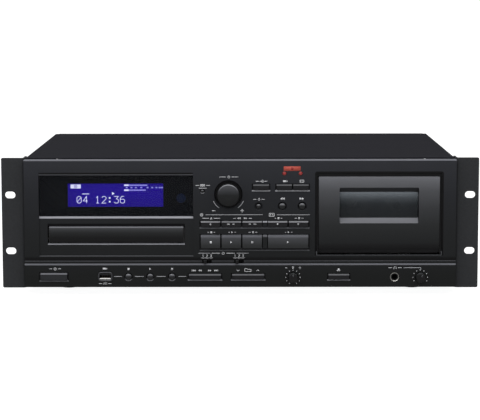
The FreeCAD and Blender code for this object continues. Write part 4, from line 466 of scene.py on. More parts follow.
# Dull nickel on the headphone socket's ring, with a painted highlight low in its bore, where it faces
# up.
RING_NICKEL = Finish("dull_nickel_ring", "#858480", 0.34, grain_mm=0.3, relief_mm=0.001, shade=0.05,
                     metallic=1.0, bevel_highlight=((20, "#858480"), (16, "#dddcd7")))
# Black nylon of the headphone socket's body, a little shinier than the connectors'.
JACK_NYLON = Finish("jack_nylon", "#202021", 0.5, specular=0.3)
# Dark grey ink of the small knobs' pointers, barely lighter than the plastic.
POINTER_INK = Finish("dark_pointer_ink", "#4a4b4e", 0.6, shade=0.04, relief_mm=0.002, specular=0.2)
# ABS strip over the display window, painted a light grey as the highlight on the frame's edge there:
# a grey line.
TRIM_HIGHLIGHT_ABS = Finish("window_trim_painted_highlight", "#606165", 0.35, relief_mm=0.004, specular=0.1)
# Gold flash on the data socket's contacts: a dull yellow metal.
GOLD_FLASH = Finish("gold_flashed_contacts", "#8d7440", 0.3, shade=0.04, metallic=1.0)
# Moulded rubber of the feet: a matt black with a soft grain.
FOOT_RUBBER = Finish("moulded_rubber", "#161616", 0.85, grain_mm=0.8, relief_mm=0.03, specular=0.3)
# Black zinc on the screws: dark, with a metal's sheen on the heads.
BLACK_ZINC = Finish("black_zinc_screws", "#2b2b2d", 0.35, grain_mm=0.3, relief_mm=0.002, metallic=0.9)
# Ground steel of the capstans and the heads' base: bright, with fine lines.
GROUND_STEEL = Finish("ground_steel", "#b9babc", 0.2, grain_mm=0.2, relief_mm=0.001, shade=0.06,
                      pattern=Pattern.BRUSHED, metallic=1.0)
# Plain black moulding of the reel spindles: satin.
REEL_MOULDING = Finish("black_reel_moulding", "#161617", 0.4)
# Screen-printed ink, flat and dull: off-white signs, grey rules and a salmon recording sign.
WHITE_INK = Finish("white_screen_ink", "#c9cacd", 0.6, shade=0.04, relief_mm=0.002, specular=0.2)
GREY_INK = Finish("grey_screen_ink", "#a3a4a8", 0.6, shade=0.04, relief_mm=0.002, specular=0.2)
SALMON_INK = Finish("salmon_screen_ink", "#a5493e", 0.6, shade=0.04, relief_mm=0.002, specular=0.2)

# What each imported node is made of.
NODE_FINISH: dict[Finish, tuple[str, ...]] = {
    EAR_COAT: ("rack_ear_left", "rack_ear_right"),
    COVER_COAT: ("top_cover",),
    DECK_COAT: ("tape_deck_plate", "cassette_holder"),
    GALVANISED: ("chassis_pan", "rear_panel"),
    PANEL_ABS: ("front_panel",),
    KEY_ABS: ("disc_open_key", "disc_skip_back_key", "disc_skip_forward_key", "tape_stop_key",
              "tape_pause_key", "source_button", "record_usb_button", "record_tape_button",
              "eject_button", "skip_rocker", "folder_rocker"),
    POWER_KEY_ABS: ("power_button",),
    ROUND_BUTTON_ABS: ("player_stop_button", "player_play_button", "player_pause_button", "rewind_button",
                       "fast_forward_button", "repeat_button", "counter_reset_button"),
    WIDE_KEY_ABS: ("disc_stop_button", "disc_play_button", "disc_pause_button", "tape_play_button"),
    LEVEL_KNOB_ABS: ("record_level_knob",),
    KNOB_ABS: ("pitch_knob", "phones_knob", "start_source_switch", "start_mode_switch"),
    SMOKED_ACRYLIC: ("display_window",),
    DOOR_ACRYLIC: ("door_window",),
    DOOR_PAINT: ("cassette_door",),
    TRAY_FRONT_ABS: ("tray_front",),
    TRAY_ABS: ("disc_tray",),
    DRIVE_MOULDING: ("loader_frame", "disc_turntable", "pickup_sled"),
    PAPER_BOARD: ("power_board",),
    BLACK_BOARD: ("key_board",),
    GREEN_BOARD: ("main_board",),
    DISPLAY_METAL: ("display_module",),
    LAMP_LENS: ("record_lamps",),
    NICKEL: ("usb_socket", "phones_jack"),
    CONNECTOR_NYLON: ("line_jacks", "mains_inlet"),
    FOOT_RUBBER: ("feet",),
    BLACK_ZINC: ("case_screws",),
    GROUND_STEEL: ("capstan_left", "capstan_right", "head_base"),
    REEL_MOULDING: ("reel_spindle_left", "reel_spindle_right"),
}


# Surfaces

def rounded(points: Sequence[Place], radius: float, steps: int = 5, closed: bool = False) -> Grid:
    """Round the corners of a run of straight lines.

    Each corner C becomes the curve (1-t)(1-t)A + 2t(1-t)C + t t B, where A and B lie on its two
    lines at the radius from C, or half the line where that is shorter.

    Args:
        points: the corners, in millimetres.
        radius: how far from its corner each curve starts.
        steps: points along each curve.
        closed: whether the last corner joins the first.

    Returns:
        The rounded run, one row a point.
    """
    corners = np.array(points, float)
    if closed:
        corners = np.vstack([corners[-1], corners, corners[0]])
    middle, before, after = corners[1:-1], corners[:-2], corners[2:]

    def reach(other: Grid) -> Grid:
        """Give the curve's end on the line from each corner to its neighbour."""
        gap = np.linalg.norm(other - middle, axis=1, keepdims=True)
        return middle + (other - middle) * np.minimum(radius / gap, 0.5)

    start, end = reach(before)[:, None], reach(after)[:, None]
    share = np.linspace(0, 1, steps)[None, :, None]
    curve = (1 - share) ** 2 * start + 2 * share * (1 - share) * middle[:, None] + share ** 2 * end
    curve = curve.reshape(-1, corners.shape[1])
    return curve if closed else np.vstack([corners[:1], curve, corners[-1:]])


def beside(points: Sequence[Place] | Grid, offsets: Sequence[float], closed: bool = False) -> Grid:
    """Carry lines along a run of points, each at its own distance to the run's left.

    A line's point is the run's point plus its distance along the mitre between the two lines there.

    Args:
        points: the run, as (x, z).
        offsets: the distances.
        closed: whether the run comes back to its start.

    Returns:
        A grid with one row for each distance.
    """
    run = np.array(points, float)
    if closed:
        run = np.vstack([run, run[:1]])
    step = np.diff(run, axis=0)
    step /= np.linalg.norm(step, axis=1, keepdims=True)
    normal = np.stack([-step[:, 1], step[:, 0]], axis=1)
    first, last = (normal[-1:], normal[:1]) if closed else (normal[:1], normal[-1:])
    left, right = np.vstack([first, normal]), np.vstack([normal, last])
    mitre = (left + right) / (1 + np.sum(left * right, axis=1, keepdims=True))
    return np.stack([run + mitre * offset for offset in offsets])


def stroke(points: Sequence[Place] | Grid, width: float, closed: bool = False) -> Grid:
    """Carry a flat line of one width along a run of (x, z) points."""
    return beside(points, (width / 2, -width / 2), closed)


def rim(points: Sequence[Place] | Grid, section: Sequence[Place], closed: bool = True) -> Grid:
    """Carry a section along a run of points.

    Args:
        points: the run, as (x, z).
        section: rows of (distance to the run's left, depth Y).
        closed: whether the run comes back to its start.

    Returns:
        A grid with one row for each point of the section.
    """
    rows = beside(points, [row[0] for row in section], closed)
    depth = np.array([row[1] for row in section])[:, None] * np.ones(rows.shape[1])
    return np.stack([rows[..., 0], depth, rows[..., 1]], axis=-1)


def frame_run(middle: Place, wide: float, high: float, radius: float) -> Grid:
    """Give a rectangle with rounded corners, with its first point again at its end.

    Args:
        middle: its middle, as (x, z).
        wide: its width.
        high: its height.
        radius: how far from each corner its curve starts.

    Returns:
        The outline, one row a point.
    """
    x, z, half, rise = *middle, wide / 2, high / 2
    run = rounded([(x - half, z - rise), (x + half, z - rise), (x + half, z + rise), (x - half, z + rise)],
                  radius, closed=True)
    return np.vstack([run, run[:1]])


def carry(middle: Place, rows: Sequence[tuple[Grid, float]]) -> Grid:
    """Carry outlines from depth to depth along Y, and close both ends with a fan about the middle.

    Args:
        middle: the outlines' middle.
        rows: each outline with its depth Y, all with as many points.

    Returns:
        A grid with a row for each outline and one for each end.
    """
    centre = np.broadcast_to(np.array(middle, float), rows[0][0].shape)
    every = [(centre, rows[0][1]), *rows, (centre, rows[-1][1])]
    return np.stack([np.stack([run[:, 0], np.full(len(run), depth), run[:, 1]], axis=-1)
                     for run, depth in every])


def slab(middle: Place, wide: float, high: float, radius: float, front: float, back: float) -> Grid:
    """Carry one rectangle with rounded corners from its front depth to its back.

    Args:
        middle: its middle, as (x, z).
        wide: its width.
        high: its height.
        radius: how far from each corner its curve starts.
        front: the depth Y of its front.
        back: the depth Y of its back.

    Returns:
        The grid of the closed block.
    """
    outline = frame_run(middle, wide, high, radius)
    return carry(middle, [(outline, front), (outline, back)])


def patch(*corners: Place) -> Grid:
    """Span a flat patch over three or four corners.

    Args:
        corners: the corners in turn, as (x, z).

    Returns:
        A grid of two by two points, whose last two are one point on a triangle.
    """
    a, b, c = (np.array(corner, float) for corner in corners[:3])
    d = np.array(corners[3], float) if len(corners) > 3 else c
    return np.stack([np.stack([a, b]), np.stack([d, c])])


def arc(x: float, z: float, radius: float, first: float, last: float, steps: int = 17) -> Grid:
    """Give points round a centre; the angle in degrees runs clockwise from straight up."""
    turn = np.radians(np.linspace(first, last, steps))
    return np.stack([x + radius * np.sin(turn), z + radius * np.cos(turn)], axis=1)


def disc(x: float, z: float, radius: float) -> Grid:
    """Span a flat disc as a grid of two rings, one at its centre and one at its edge."""
    edge = arc(x, z, radius, 0, 360, 25)
    return np.stack([np.broadcast_to([x, z], edge.shape), edge])


def stand_up(flats: Iterable[Grid], depth: float) -> list[Grid]:
    """Stand flat (x, z) grids up at one depth Y, facing the front."""
    return [np.stack([flat[..., 0], np.full(flat.shape[:-1], depth), flat[..., 1]], axis=-1)
            for flat in flats]


def lathe(x: float, z: float, profile: Grid | Sequence[Place], steps: int = 72,
          flutes: int = 0, flute_depth: float = 0.0) -> Grid:
    """Turn a profile about a line along Y.

    The point at angle a is (x + r cos a, y, z + r sin a), and where there are flutes r is less by
    their depth times (1 - cos(n a)) / 2 on the profile's rows that are at the full radius.

    Args:
        x: the axis's place across.
        z: the axis's height.
        profile: rows of (y, r).
        steps: points round the axis.
        flutes: how many flutes the side has.
        flute_depth: how deep they are.

    Returns:
        A grid with one row for each profile point.
    """
    rows = np.array(profile, float)
    turn = np.linspace(0, 2 * np.pi, steps + 1)[None, :]
    radius = rows[:, 1:2] * np.ones_like(turn)
    if flutes:
        full = rows[:, 1:2] > rows[:, 1].max() * 0.93
        radius = radius - full * flute_depth * (1 - np.cos(flutes * turn)) / 2
    return np.stack([x + radius * np.cos(turn), rows[:, 0:1] * np.ones_like(turn),
                     z + radius * np.sin(turn)], axis=-1)


def facing(grid: Grid, toward: Sequence[float]) -> Grid:
    """Turn a grid over where the sum of its cells' normals points away from a direction.

    Args:
        grid: a grid of points.
        toward: the direction.

    Returns:
        The grid, or the grid with its rows the other way round.
    """
    across = grid[1:, 1:] - grid[:-1, :-1]
    down = grid[1:, :-1] - grid[:-1, 1:]
    normal = np.cross(down, across).reshape(-1, 3).sum(axis=0)
    return grid[::-1] if normal @ np.array(toward) < 0 else grid


@dataclass
class Piece:
    """A piece of the scene: its grids of points and what it belongs to.

    A piece with a thickness is a flat skin that gets a wall of that thickness, and isn't closed.
    """

    name: str
    body: str
    slot: str
    finish: Finish
    grids: list[Grid] = field(default_factory=list)
    thick: float = 0.0
    closed: bool = True
    stands_for: tuple[str, ...] = ()

    def build(self) -> bpy.types.Object:
        """Make the mesh from the grids, shade it, dress it and let it ride on its body.

        Returns:
            The new object.
        """
        points, faces, count = [], [], 0
        for grid in self.grids:
            rows, columns = grid.shape[:2]
            number = np.arange(rows * columns).reshape(rows, columns) + count
            faces.append(np.stack([number[:-1, :-1], number[1:, :-1], number[1:, 1:], number[:-1, 1:]],
                                  axis=-1).reshape(-1, 4))
            points.append(grid.reshape(-1, 3))
            count += rows * columns
        mesh = bpy.data.meshes.new(self.name)
        mesh.from_pydata((np.vstack(points) * MM).tolist(), [], np.vstack(faces).tolist())
        join_seams(mesh, self.closed)
        return self.finished(mesh)

    def finished(self, mesh: bpy.types.Mesh) -> bpy.types.Object:
        """Turn a mesh into the piece's object.

        Args:
            mesh: a merged mesh in metres.

        Returns:
            The object, riding on its body.
        """
        mesh.polygons.foreach_set("use_smooth", np.ones(len(mesh.polygons), bool))
        mesh.set_sharp_from_angle(angle=math.radians(SHARP_EDGE))
        mesh.materials.append(self.finish.material())
        piece = bpy.data.objects.new(self.name, mesh)
        bpy.context.scene.collection.objects.link(piece)
        if self.thick:
            wall = piece.modifiers.new("wall", "SOLIDIFY")
            wall.thickness = self.thick * MM
            wall.offset = -1
        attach(piece, self.body)
        if self.stands_for:
            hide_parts(*self.stands_for)
        log.info("%s rides on %s", self.name, self.body)
        return piece


def join_seams(mesh: bpy.types.Mesh, closed: bool) -> None:
    """Merge the points that meet at seams and poles, and turn a closed shell outwards.

    Args:
        mesh: the mesh, in metres.
        closed: whether it encloses a space.
    """
    work = bmesh.new()
    work.from_mesh(mesh)
    bmesh.ops.remove_doubles(work, verts=work.verts, dist=WELD)
    if closed:
        bmesh.ops.recalc_face_normals(work, faces=work.faces)
    work.to_mesh(mesh)
    work.free()


def lay_flats(name: str, body: str, slot: str, finish: Finish, flats: Iterable[Grid], depth: float,
              thick: float = INK_THICK) -> None:
    """Make a thin piece of flat shapes that face the front, such as print or lit segments.

    Args:
        name: the piece's name.
        body: the body that it rides on.
        slot: its slot.
        finish: its finish.
        flats: flat (x, z) grids.
        depth: the depth Y of their front.
        thick: how thick they are.
    """
    grids = [facing(grid, TO_FRONT) for grid in stand_up(flats, depth)]
    Piece(name, body, slot, finish, grids, thick=thick, closed=False).build()


# Signs

class Sign(Enum):
    """The plain signs that stand on keys and beside them."""

    PLAY = "play"
    STOP = "stop"
    PAUSE = "pause"
    EJECT = "eject"
    REWIND = "rewind"
    FORWARD = "forward"
    SKIP_BACK = "skip back"
    SKIP_FORWARD = "skip forward"
    RECORD = "record"
    POWER = "power"
    REPEAT = "repeat"
    HEADPHONES = "headphones"
    DOWN = "down"
    UP = "up"
    PLUS = "plus"
    MINUS = "minus"
    DIAL = "dial"
    DISC = "disc"
    STICK = "memory stick"
    CASSETTE = "cassette"
    SOURCE = "source"

    def grids(self, x: float, z: float, high: float) -> list[Grid]:
        """Draw the sign about a middle.

        Args:
            x: the middle's place across.
            z: the middle's height.
            high: the sign's height.

        Returns:
            Flat (x, z) grids.
        """
        return [grid * high + np.array([x, z]) for grid in SIGN_SHAPES[self]()]


def wedge(x: float, way: int) -> Grid:
    """Span a triangle of height 1 that points along X, with its flat side at x."""
    return patch((x, 0.5), (x, -0.5), (x + 0.8 * way, 0.0))


def bar(x: float, wide: float = 0.22) -> Grid:
    """Span an upright bar of height 1 from x."""
    return patch((x, 0.5), (x, -0.5), (x + wide, -0.5), (x + wide, 0.5))


# How each sign is drawn, at a height of about 1 about its middle.
SIGN_SHAPES: dict[Sign, Callable[[], list[Grid]]] = {
    Sign.PLAY: lambda: [wedge(-0.4, 1)],
    Sign.STOP: lambda: [bar(-0.45, 0.9)],
    Sign.PAUSE: lambda: [bar(-0.42, 0.3), bar(0.12, 0.3)],
    Sign.EJECT: lambda: [patch((-0.6, -0.1), (0.6, -0.1), (0.0, 0.5)),
                         patch((-0.6, -0.5), (0.6, -0.5), (0.6, -0.28), (-0.6, -0.28))],
    Sign.REWIND: lambda: [wedge(0.0, -1), wedge(0.85, -1)],
    Sign.FORWARD: lambda: [wedge(-0.85, 1), wedge(0.0, 1)],
    Sign.SKIP_BACK: lambda: [bar(-1.1, 0.2), wedge(-0.05, -1), wedge(0.8, -1)],
    Sign.SKIP_FORWARD: lambda: [wedge(-0.8, 1), wedge(0.05, 1), bar(0.9, 0.2)],
    Sign.RECORD: lambda: [disc(0, 0, 0.45)],
    Sign.POWER: lambda: [stroke(arc(0, -0.05, 0.42, 40, 320), 0.15),
                         bar(-0.075, 0.15) * [1, 0.5] + [0, 0.22]],
    Sign.REPEAT: lambda: [stroke(arc(0, 0, 0.4, 60, 350), 0.14),
                          patch((0.0, 0.64), (0.0, 0.14), (0.4, 0.39))],
    Sign.HEADPHONES: lambda: [stroke(arc(0, -0.05, 0.45, -95, 95), 0.12),
                              bar(-0.56, 0.24) * [1, 0.45] + [0, -0.28],
                              bar(0.32, 0.24) * [1, 0.45] + [0, -0.28]],
    Sign.DOWN: lambda: [stroke([(-0.7, 0.3), (0.0, -0.3), (0.7, 0.3)], 0.24)],
    Sign.UP: lambda: [stroke([(-0.7, -0.3), (0.0, 0.3), (0.7, -0.3)], 0.24)],
    Sign.PLUS: lambda: [bar(-0.1, 0.2), patch((-0.5, -0.1), (0.5, -0.1), (0.5, 0.1), (-0.5, 0.1))],
    Sign.MINUS: lambda: [patch((-0.5, -0.1), (0.5, -0.1), (0.5, 0.1), (-0.5, 0.1))],
    Sign.DIAL: lambda: [stroke(arc(0, 0, 0.42, 0, 360, 25), 0.13), bar(-0.07, 0.14) * [1, 0.45] + [0, 0.2]],
    Sign.DISC: lambda: [stroke(arc(0, 0, 0.43, 0, 360, 25), 0.15), disc(0, 0, 0.16)],
    Sign.STICK: lambda: [patch((-0.95, -0.4), (0.4, -0.4), (0.4, 0.4), (-0.95, 0.4)),
                         stroke([(0.4, 0.24), (0.9, 0.24), (0.9, -0.24), (0.4, -0.24)], 0.14)],
    Sign.CASSETTE: lambda: [stroke(rounded([(-0.85, -0.5), (0.85, -0.5), (0.85, 0.5), (-0.85, 0.5)], 0.2,
                                           closed=True), 0.16, True),
                            disc(-0.38, 0, 0.18), disc(0.38, 0, 0.18)],
    Sign.SOURCE: lambda: [stroke([(0.1, 0.48), (0.7, 0.48), (0.7, -0.48), (0.1, -0.48)], 0.16),
                          patch((-0.8, -0.08), (-0.1, -0.08), (-0.1, 0.08), (-0.8, 0.08)),
                          wedge(0.0, 1) * [0.6, 0.6] + [-0.1, 0]],
}

# The strokes of each digit from its lower left corner, 0.8 wide and as high as said here.
DIGIT_HIGH = 1.4
DIGIT_RUNS: dict[str, list[list[Place]]] = {
    "0": [[(0, 0.25), (0, 1.15), (0.25, 1.4), (0.55, 1.4), (0.8, 1.15), (0.8, 0.25), (0.55, 0), (0.25, 0),
           (0, 0.25)], [(0.1, 0.3), (0.7, 1.1)]],
    "1": [[(0.15, 1.1), (0.4, 1.4), (0.4, 0)], [(0.15, 0), (0.65, 0)]],
    "2": [[(0, 1.15), (0.25, 1.4), (0.55, 1.4), (0.8, 1.15), (0.8, 0.9), (0, 0), (0.8, 0)]],
    "3": [[(0, 1.4), (0.8, 1.4), (0.4, 0.85), (0.6, 0.85), (0.8, 0.65), (0.8, 0.2), (0.6, 0), (0.2, 0),
           (0, 0.2)]],
    "4": [[(0.6, 0), (0.6, 1.4), (0, 0.45), (0.8, 0.45)]],
    "5": [[(0.8, 1.4), (0, 1.4), (0, 0.85), (0.6, 0.85), (0.8, 0.65), (0.8, 0.2), (0.6, 0), (0.2, 0),
           (0, 0.2)]],
    "6": [[(0.7, 1.4), (0.3, 1.4), (0, 1.0), (0, 0.2), (0.2, 0), (0.6, 0), (0.8, 0.2), (0.8, 0.6),
           (0.6, 0.8), (0, 0.8)]],
    "7": [[(0, 1.4), (0.8, 1.4), (0.3, 0)]],
    "8": [[(0.2, 0.75), (0, 0.95), (0, 1.2), (0.2, 1.4), (0.6, 1.4), (0.8, 1.2), (0.8, 0.95), (0.6, 0.75),
           (0.2, 0.75), (0, 0.55), (0, 0.2), (0.2, 0), (0.6, 0), (0.8, 0.2), (0.8, 0.55), (0.6, 0.75)]],
    "9": [[(0.8, 0.6), (0.2, 0.6), (0, 0.8), (0, 1.2), (0.2, 1.4), (0.6, 1.4), (0.8, 1.2), (0.8, 0.4),
           (0.5, 0), (0.1, 0)]],
}


def digits(text: str, left: float, base: float, high: float, pitch: float, weight: float,
           stretch: float = 1.0) -> list[Grid]:
    """Draw plain digits in strokes.

    Args:
        text: digits and spaces.
        left: the left edge of the first.
        base: the height of their feet.
        high: how tall they are.
        pitch: the step from one to the next.
        weight: the stroke's width.
        stretch: how much wider they are than in their plain shape.

    Returns:
        Flat (x, z) grids.
    """
    size = np.array([stretch, 1.0]) * high / DIGIT_HIGH
    return [stroke(np.array(run) * size + [left + pitch * n, base], weight)
            for n, letter in enumerate(text) if letter in DIGIT_RUNS for run in DIGIT_RUNS[letter]]


@dataclass
class PanelSigns:
    """The screen-printed signs, rules and scales of the front panel. Words are left out.

    A label's rules start beside its sign by the share of the sign's height and the gap, and are left
    out where they would be shorter together than the least.
    """

    rule: float = 0.5
    label_share: float = 0.85
    label_gap: float = 0.7
    label_least: float = 1.2
    key_sign_high: float = 2.0
    digit_high: float = 2.0
    digit_weight: float = 0.36
    record_box: tuple[Place, ...] = ((43.9, 125.7), (60.9, 125.7), (60.9, 130.2), (43.9, 130.2))
    record_dot: Place = (52.4, 127.95)
    switches: tuple[float, float] = (-33.4, -1.1)
    switch_step: float = 4.0
    dot: float = 0.42

    def build(self) -> None:
        """Print every sign, rule and scale."""
        self.print("panel_signs", self.key_signs() + self.level_scale() + self.start_scales(), FACE_Y,
                   WHITE_INK)
        self.print("panel_rules", self.group_rules(), FACE_Y, GREY_INK)
        self.print("strip_signs", self.strip_signs(), STRIP_Y, WHITE_INK)
        self.print("strip_rules", self.strip_rules(), STRIP_Y, GREY_INK)
        self.print("record_sign", [patch(*self.record_box)], FACE_Y, SALMON_INK)
        self.print("record_sign_dot", Sign.RECORD.grids(*self.record_dot, 3.0), FACE_Y - INK_LIFT,
                   LAMP_LENS)

    def print(self, name: str, flats: list[Grid], face: float, ink: Finish) -> None:
        """Print flat shapes on a face of the panel, whose depth Y is given."""
        lay_flats(name, "chassis", "panel_plastic", ink, flats, face - INK_LIFT)

    def lines(self, runs: Iterable[Sequence[Place]]) -> list[Grid]:
        """Draw each run of points as a rule."""
        return [stroke(run, self.rule) for run in runs]

    def label(self, sign: Sign, high: float, left: float, right: float, z: float) -> list[Grid]:
        """Give a sign with a short rule on each side of it.

        Args:
            sign: the sign.
            high: its height.
            left: the left end of the place.
            right: its right end.
            z: the height of its middle.

        Returns:
            Flat (x, z) grids.
        """
        middle, room = (left + right) / 2, high * self.label_share + self.label_gap
        flats = sign.grids(middle, z, high)
        if right - left > 2 * room + self.label_least:
            flats += self.lines([((left, z), (middle - room, z)), ((middle + room, z), (right, z))])
        return flats

    def group_rules(self) -> list[Grid]:
        """Draw the rules over the two groups of keys, those of the start switches and the knob's arcs.

        Returns:
            Flat (x, z) grids.
        """
        runs = [((-34.6, 81.3), (22.8, 81.3)), ((37.2, 81.2), (70.3, 81.2)),
                ((-42.0, 42.2), (-29.9, 42.2)), ((-3.5, 42.2), (8.6, 42.2))]
        runs += [arc(*LEVEL_KNOB_AT, 16.6, first, last) for first, last in ((215, 246), (114, 145))]
        return [stroke(run, self.rule + 0.05) for run in runs]

    def key_signs(self) -> list[Grid]:
        """Draw the signs above the keys and round buttons of the upper panel.

        Returns:
            Flat (x, z) grids.
        """
        signs = Sign.REWIND.grids(42.7, 97.5, 2.7) + Sign.FORWARD.grids(62.2, 97.5, 2.7)
        signs += Sign.DISC.grids(-38.7, 81.3, 3.0) + Sign.CASSETTE.grids(31.9, 81.2, 3.0)
        signs += Sign.STICK.grids(45.4, 115.2, 2.2) + Sign.CASSETTE.grids(62.2, 115.2, 2.4)
        signs += self.label(Sign.DIAL, 2.6, -20.8, -1.7, 119.6)
        signs += self.label(Sign.SOURCE, 2.3, 15.9, 27.5, 115.2)
        signs += self.label(Sign.REPEAT, 2.3, 13.4, 24.8, 96.9)
        signs += digits("000", -39.9, 110.1, self.digit_high, 1.7, self.digit_weight)
        signs += self.lines([((-44.6, 111.1), (-41.0, 111.1)), ((-34.0, 111.1), (-30.4, 111.1)),
                             ((-41.4, 108.3), (-33.6, 108.3))])
        for left, right, z, sign in (
                (-32.8, -25.2, 63.5, Sign.STOP), (-11.8, -4.1, 63.5, Sign.PLAY),
                (8.6, 17.3, 63.5, Sign.PAUSE), (45.3, 52.7, 63.5, Sign.PLAY),
                (-38.0, -20.0, 77.7, Sign.EJECT), (34.9, 42.5, 77.7, Sign.STOP),
                (55.1, 64.0, 77.7, Sign.PAUSE)):
            signs += self.label(sign, self.key_sign_high, left, right, z)
        signs += Sign.REWIND.grids(-1.2, 77.7, self.key_sign_high)
        signs += Sign.FORWARD.grids(5.6, 77.7, self.key_sign_high)
        return signs + self.lines([((-7.1, 77.7), (-4.2, 77.7)), ((8.8, 77.7), (11.9, 77.7))])

    def level_scale(self) -> list[Grid]:
        """Draw the minus and plus of the level knob."""
        return Sign.MINUS.grids(-26.5, 85.4, 3.3) + Sign.PLUS.grids(2.1, 85.4, 3.3)

    def start_scales(self) -> list[Grid]:
        """Draw the sign of the start switches, and a scale from 1 to 3 for each switch.

        Returns:
            Flat (x, z) grids.
        """
        marks = self.label(Sign.POWER, 2.7, -28.8, -5.4, 42.2)
        for x in self.switches:
            for n in range(3):
                place = x + (n - 1) * self.switch_step
                marks += digits(str(n + 1), place - 0.6, 38.6, self.digit_high, 2, self.digit_weight)
                marks += [stroke([(place, 37.4), (place, 36.6)], 0.4)]
            marks += [stroke([(x - 6, 37.4), (x + 6, 37.4)], 0.35)]
        return marks

    def dial(self, place: Place, radius: float, reach: float, count: int) -> list[Grid]:
        """Draw the dots round a small knob.

        Args:
            place: the knob's middle.
            radius: how far out the dots are.
            reach: the angle of the last dot each way.
            count: how many there are.

        Returns:
            Flat (x, z) grids.
        """
        return [disc(x, z, self.dot) for x, z in arc(*place, radius, -reach, reach, count)]

    def strip_rules(self) -> list[Grid]:
        """Draw the rules between the round buttons and from the headphone sign to its knob.

        Returns:
            Flat (x, z) grids.
        """
        gaps = (-127.1, -119.3), (-106.2, -97.2), (-84.3, -75.1), (-62.3, -54.5)
        between = [((left, 18.9), (right, 18.9)) for left, right in gaps]
        return self.lines([*between, ((164.7, 27.6), (182.3, 27.6), (182.3, 26.0))])

    def strip_signs(self) -> list[Grid]:
        """Draw the signs and scales of the lower strip.

        Returns:
            Flat (x, z) grids.
        """
        marks = self.label(Sign.POWER, 2.8, -192.7, -180.8, 26.8)
        marks += self.label(Sign.HEADPHONES, 2.6, 149.7, 162.9, 27.6)
        marks += Sign.STICK.grids(-136.5, 26.9, 2.2)
        marks += [stroke(run, 0.4) for run in (
            ((-142.4, 11.6), (-139.4, 11.6)), ((-138.2, 12.2), (-134.2, 12.2)),
            ((-138.2, 11.0), (-137.3, 11.0)), ((-136.65, 11.0), (-135.75, 11.0)),
            ((-135.1, 11.0), (-134.2, 11.0)), ((-133.0, 11.6), (-130.0, 11.6)))]
        for x, sign in ((-112.6, Sign.STOP), (-90.7, Sign.PLAY), (-68.7, Sign.PAUSE)):
            marks += sign.grids(x, 26.5, 2.1)
        marks += Sign.SKIP_BACK.grids(-46.6, 24.9, 2.0) + Sign.REWIND.grids(-40.6, 24.9, 2.0)
        marks += Sign.FORWARD.grids(-30.6, 24.9, 2.0) + Sign.SKIP_FORWARD.grids(-24.5, 24.9, 2.0)
        marks += Sign.DOWN.grids(-2.1, 25.0, 1.9) + Sign.UP.grids(17.9, 25.0, 1.9)
        folder = ((4.6, 23.9), (11.0, 23.9), (11.0, 26.1), (7.7, 26.1), (7.1, 26.8), (4.6, 26.8))
        marks += [stroke(rounded(folder, 0.3, closed=True), 0.4, True)]
        marks += Sign.MINUS.grids(46.4, 27.6, 2.2) + Sign.PLUS.grids(60.4, 27.6, 2.2)
        marks += digits("0", 52.7, 26.7, 2.2, 2, self.digit_weight)
        marks += Sign.EJECT.grids(99.4, 25.7, 2.8)
        return marks + self.dial(PITCH_KNOB_AT, 7.3, 150, 11) + self.dial(PHONES_KNOB_AT, 7.35, 120, 9)


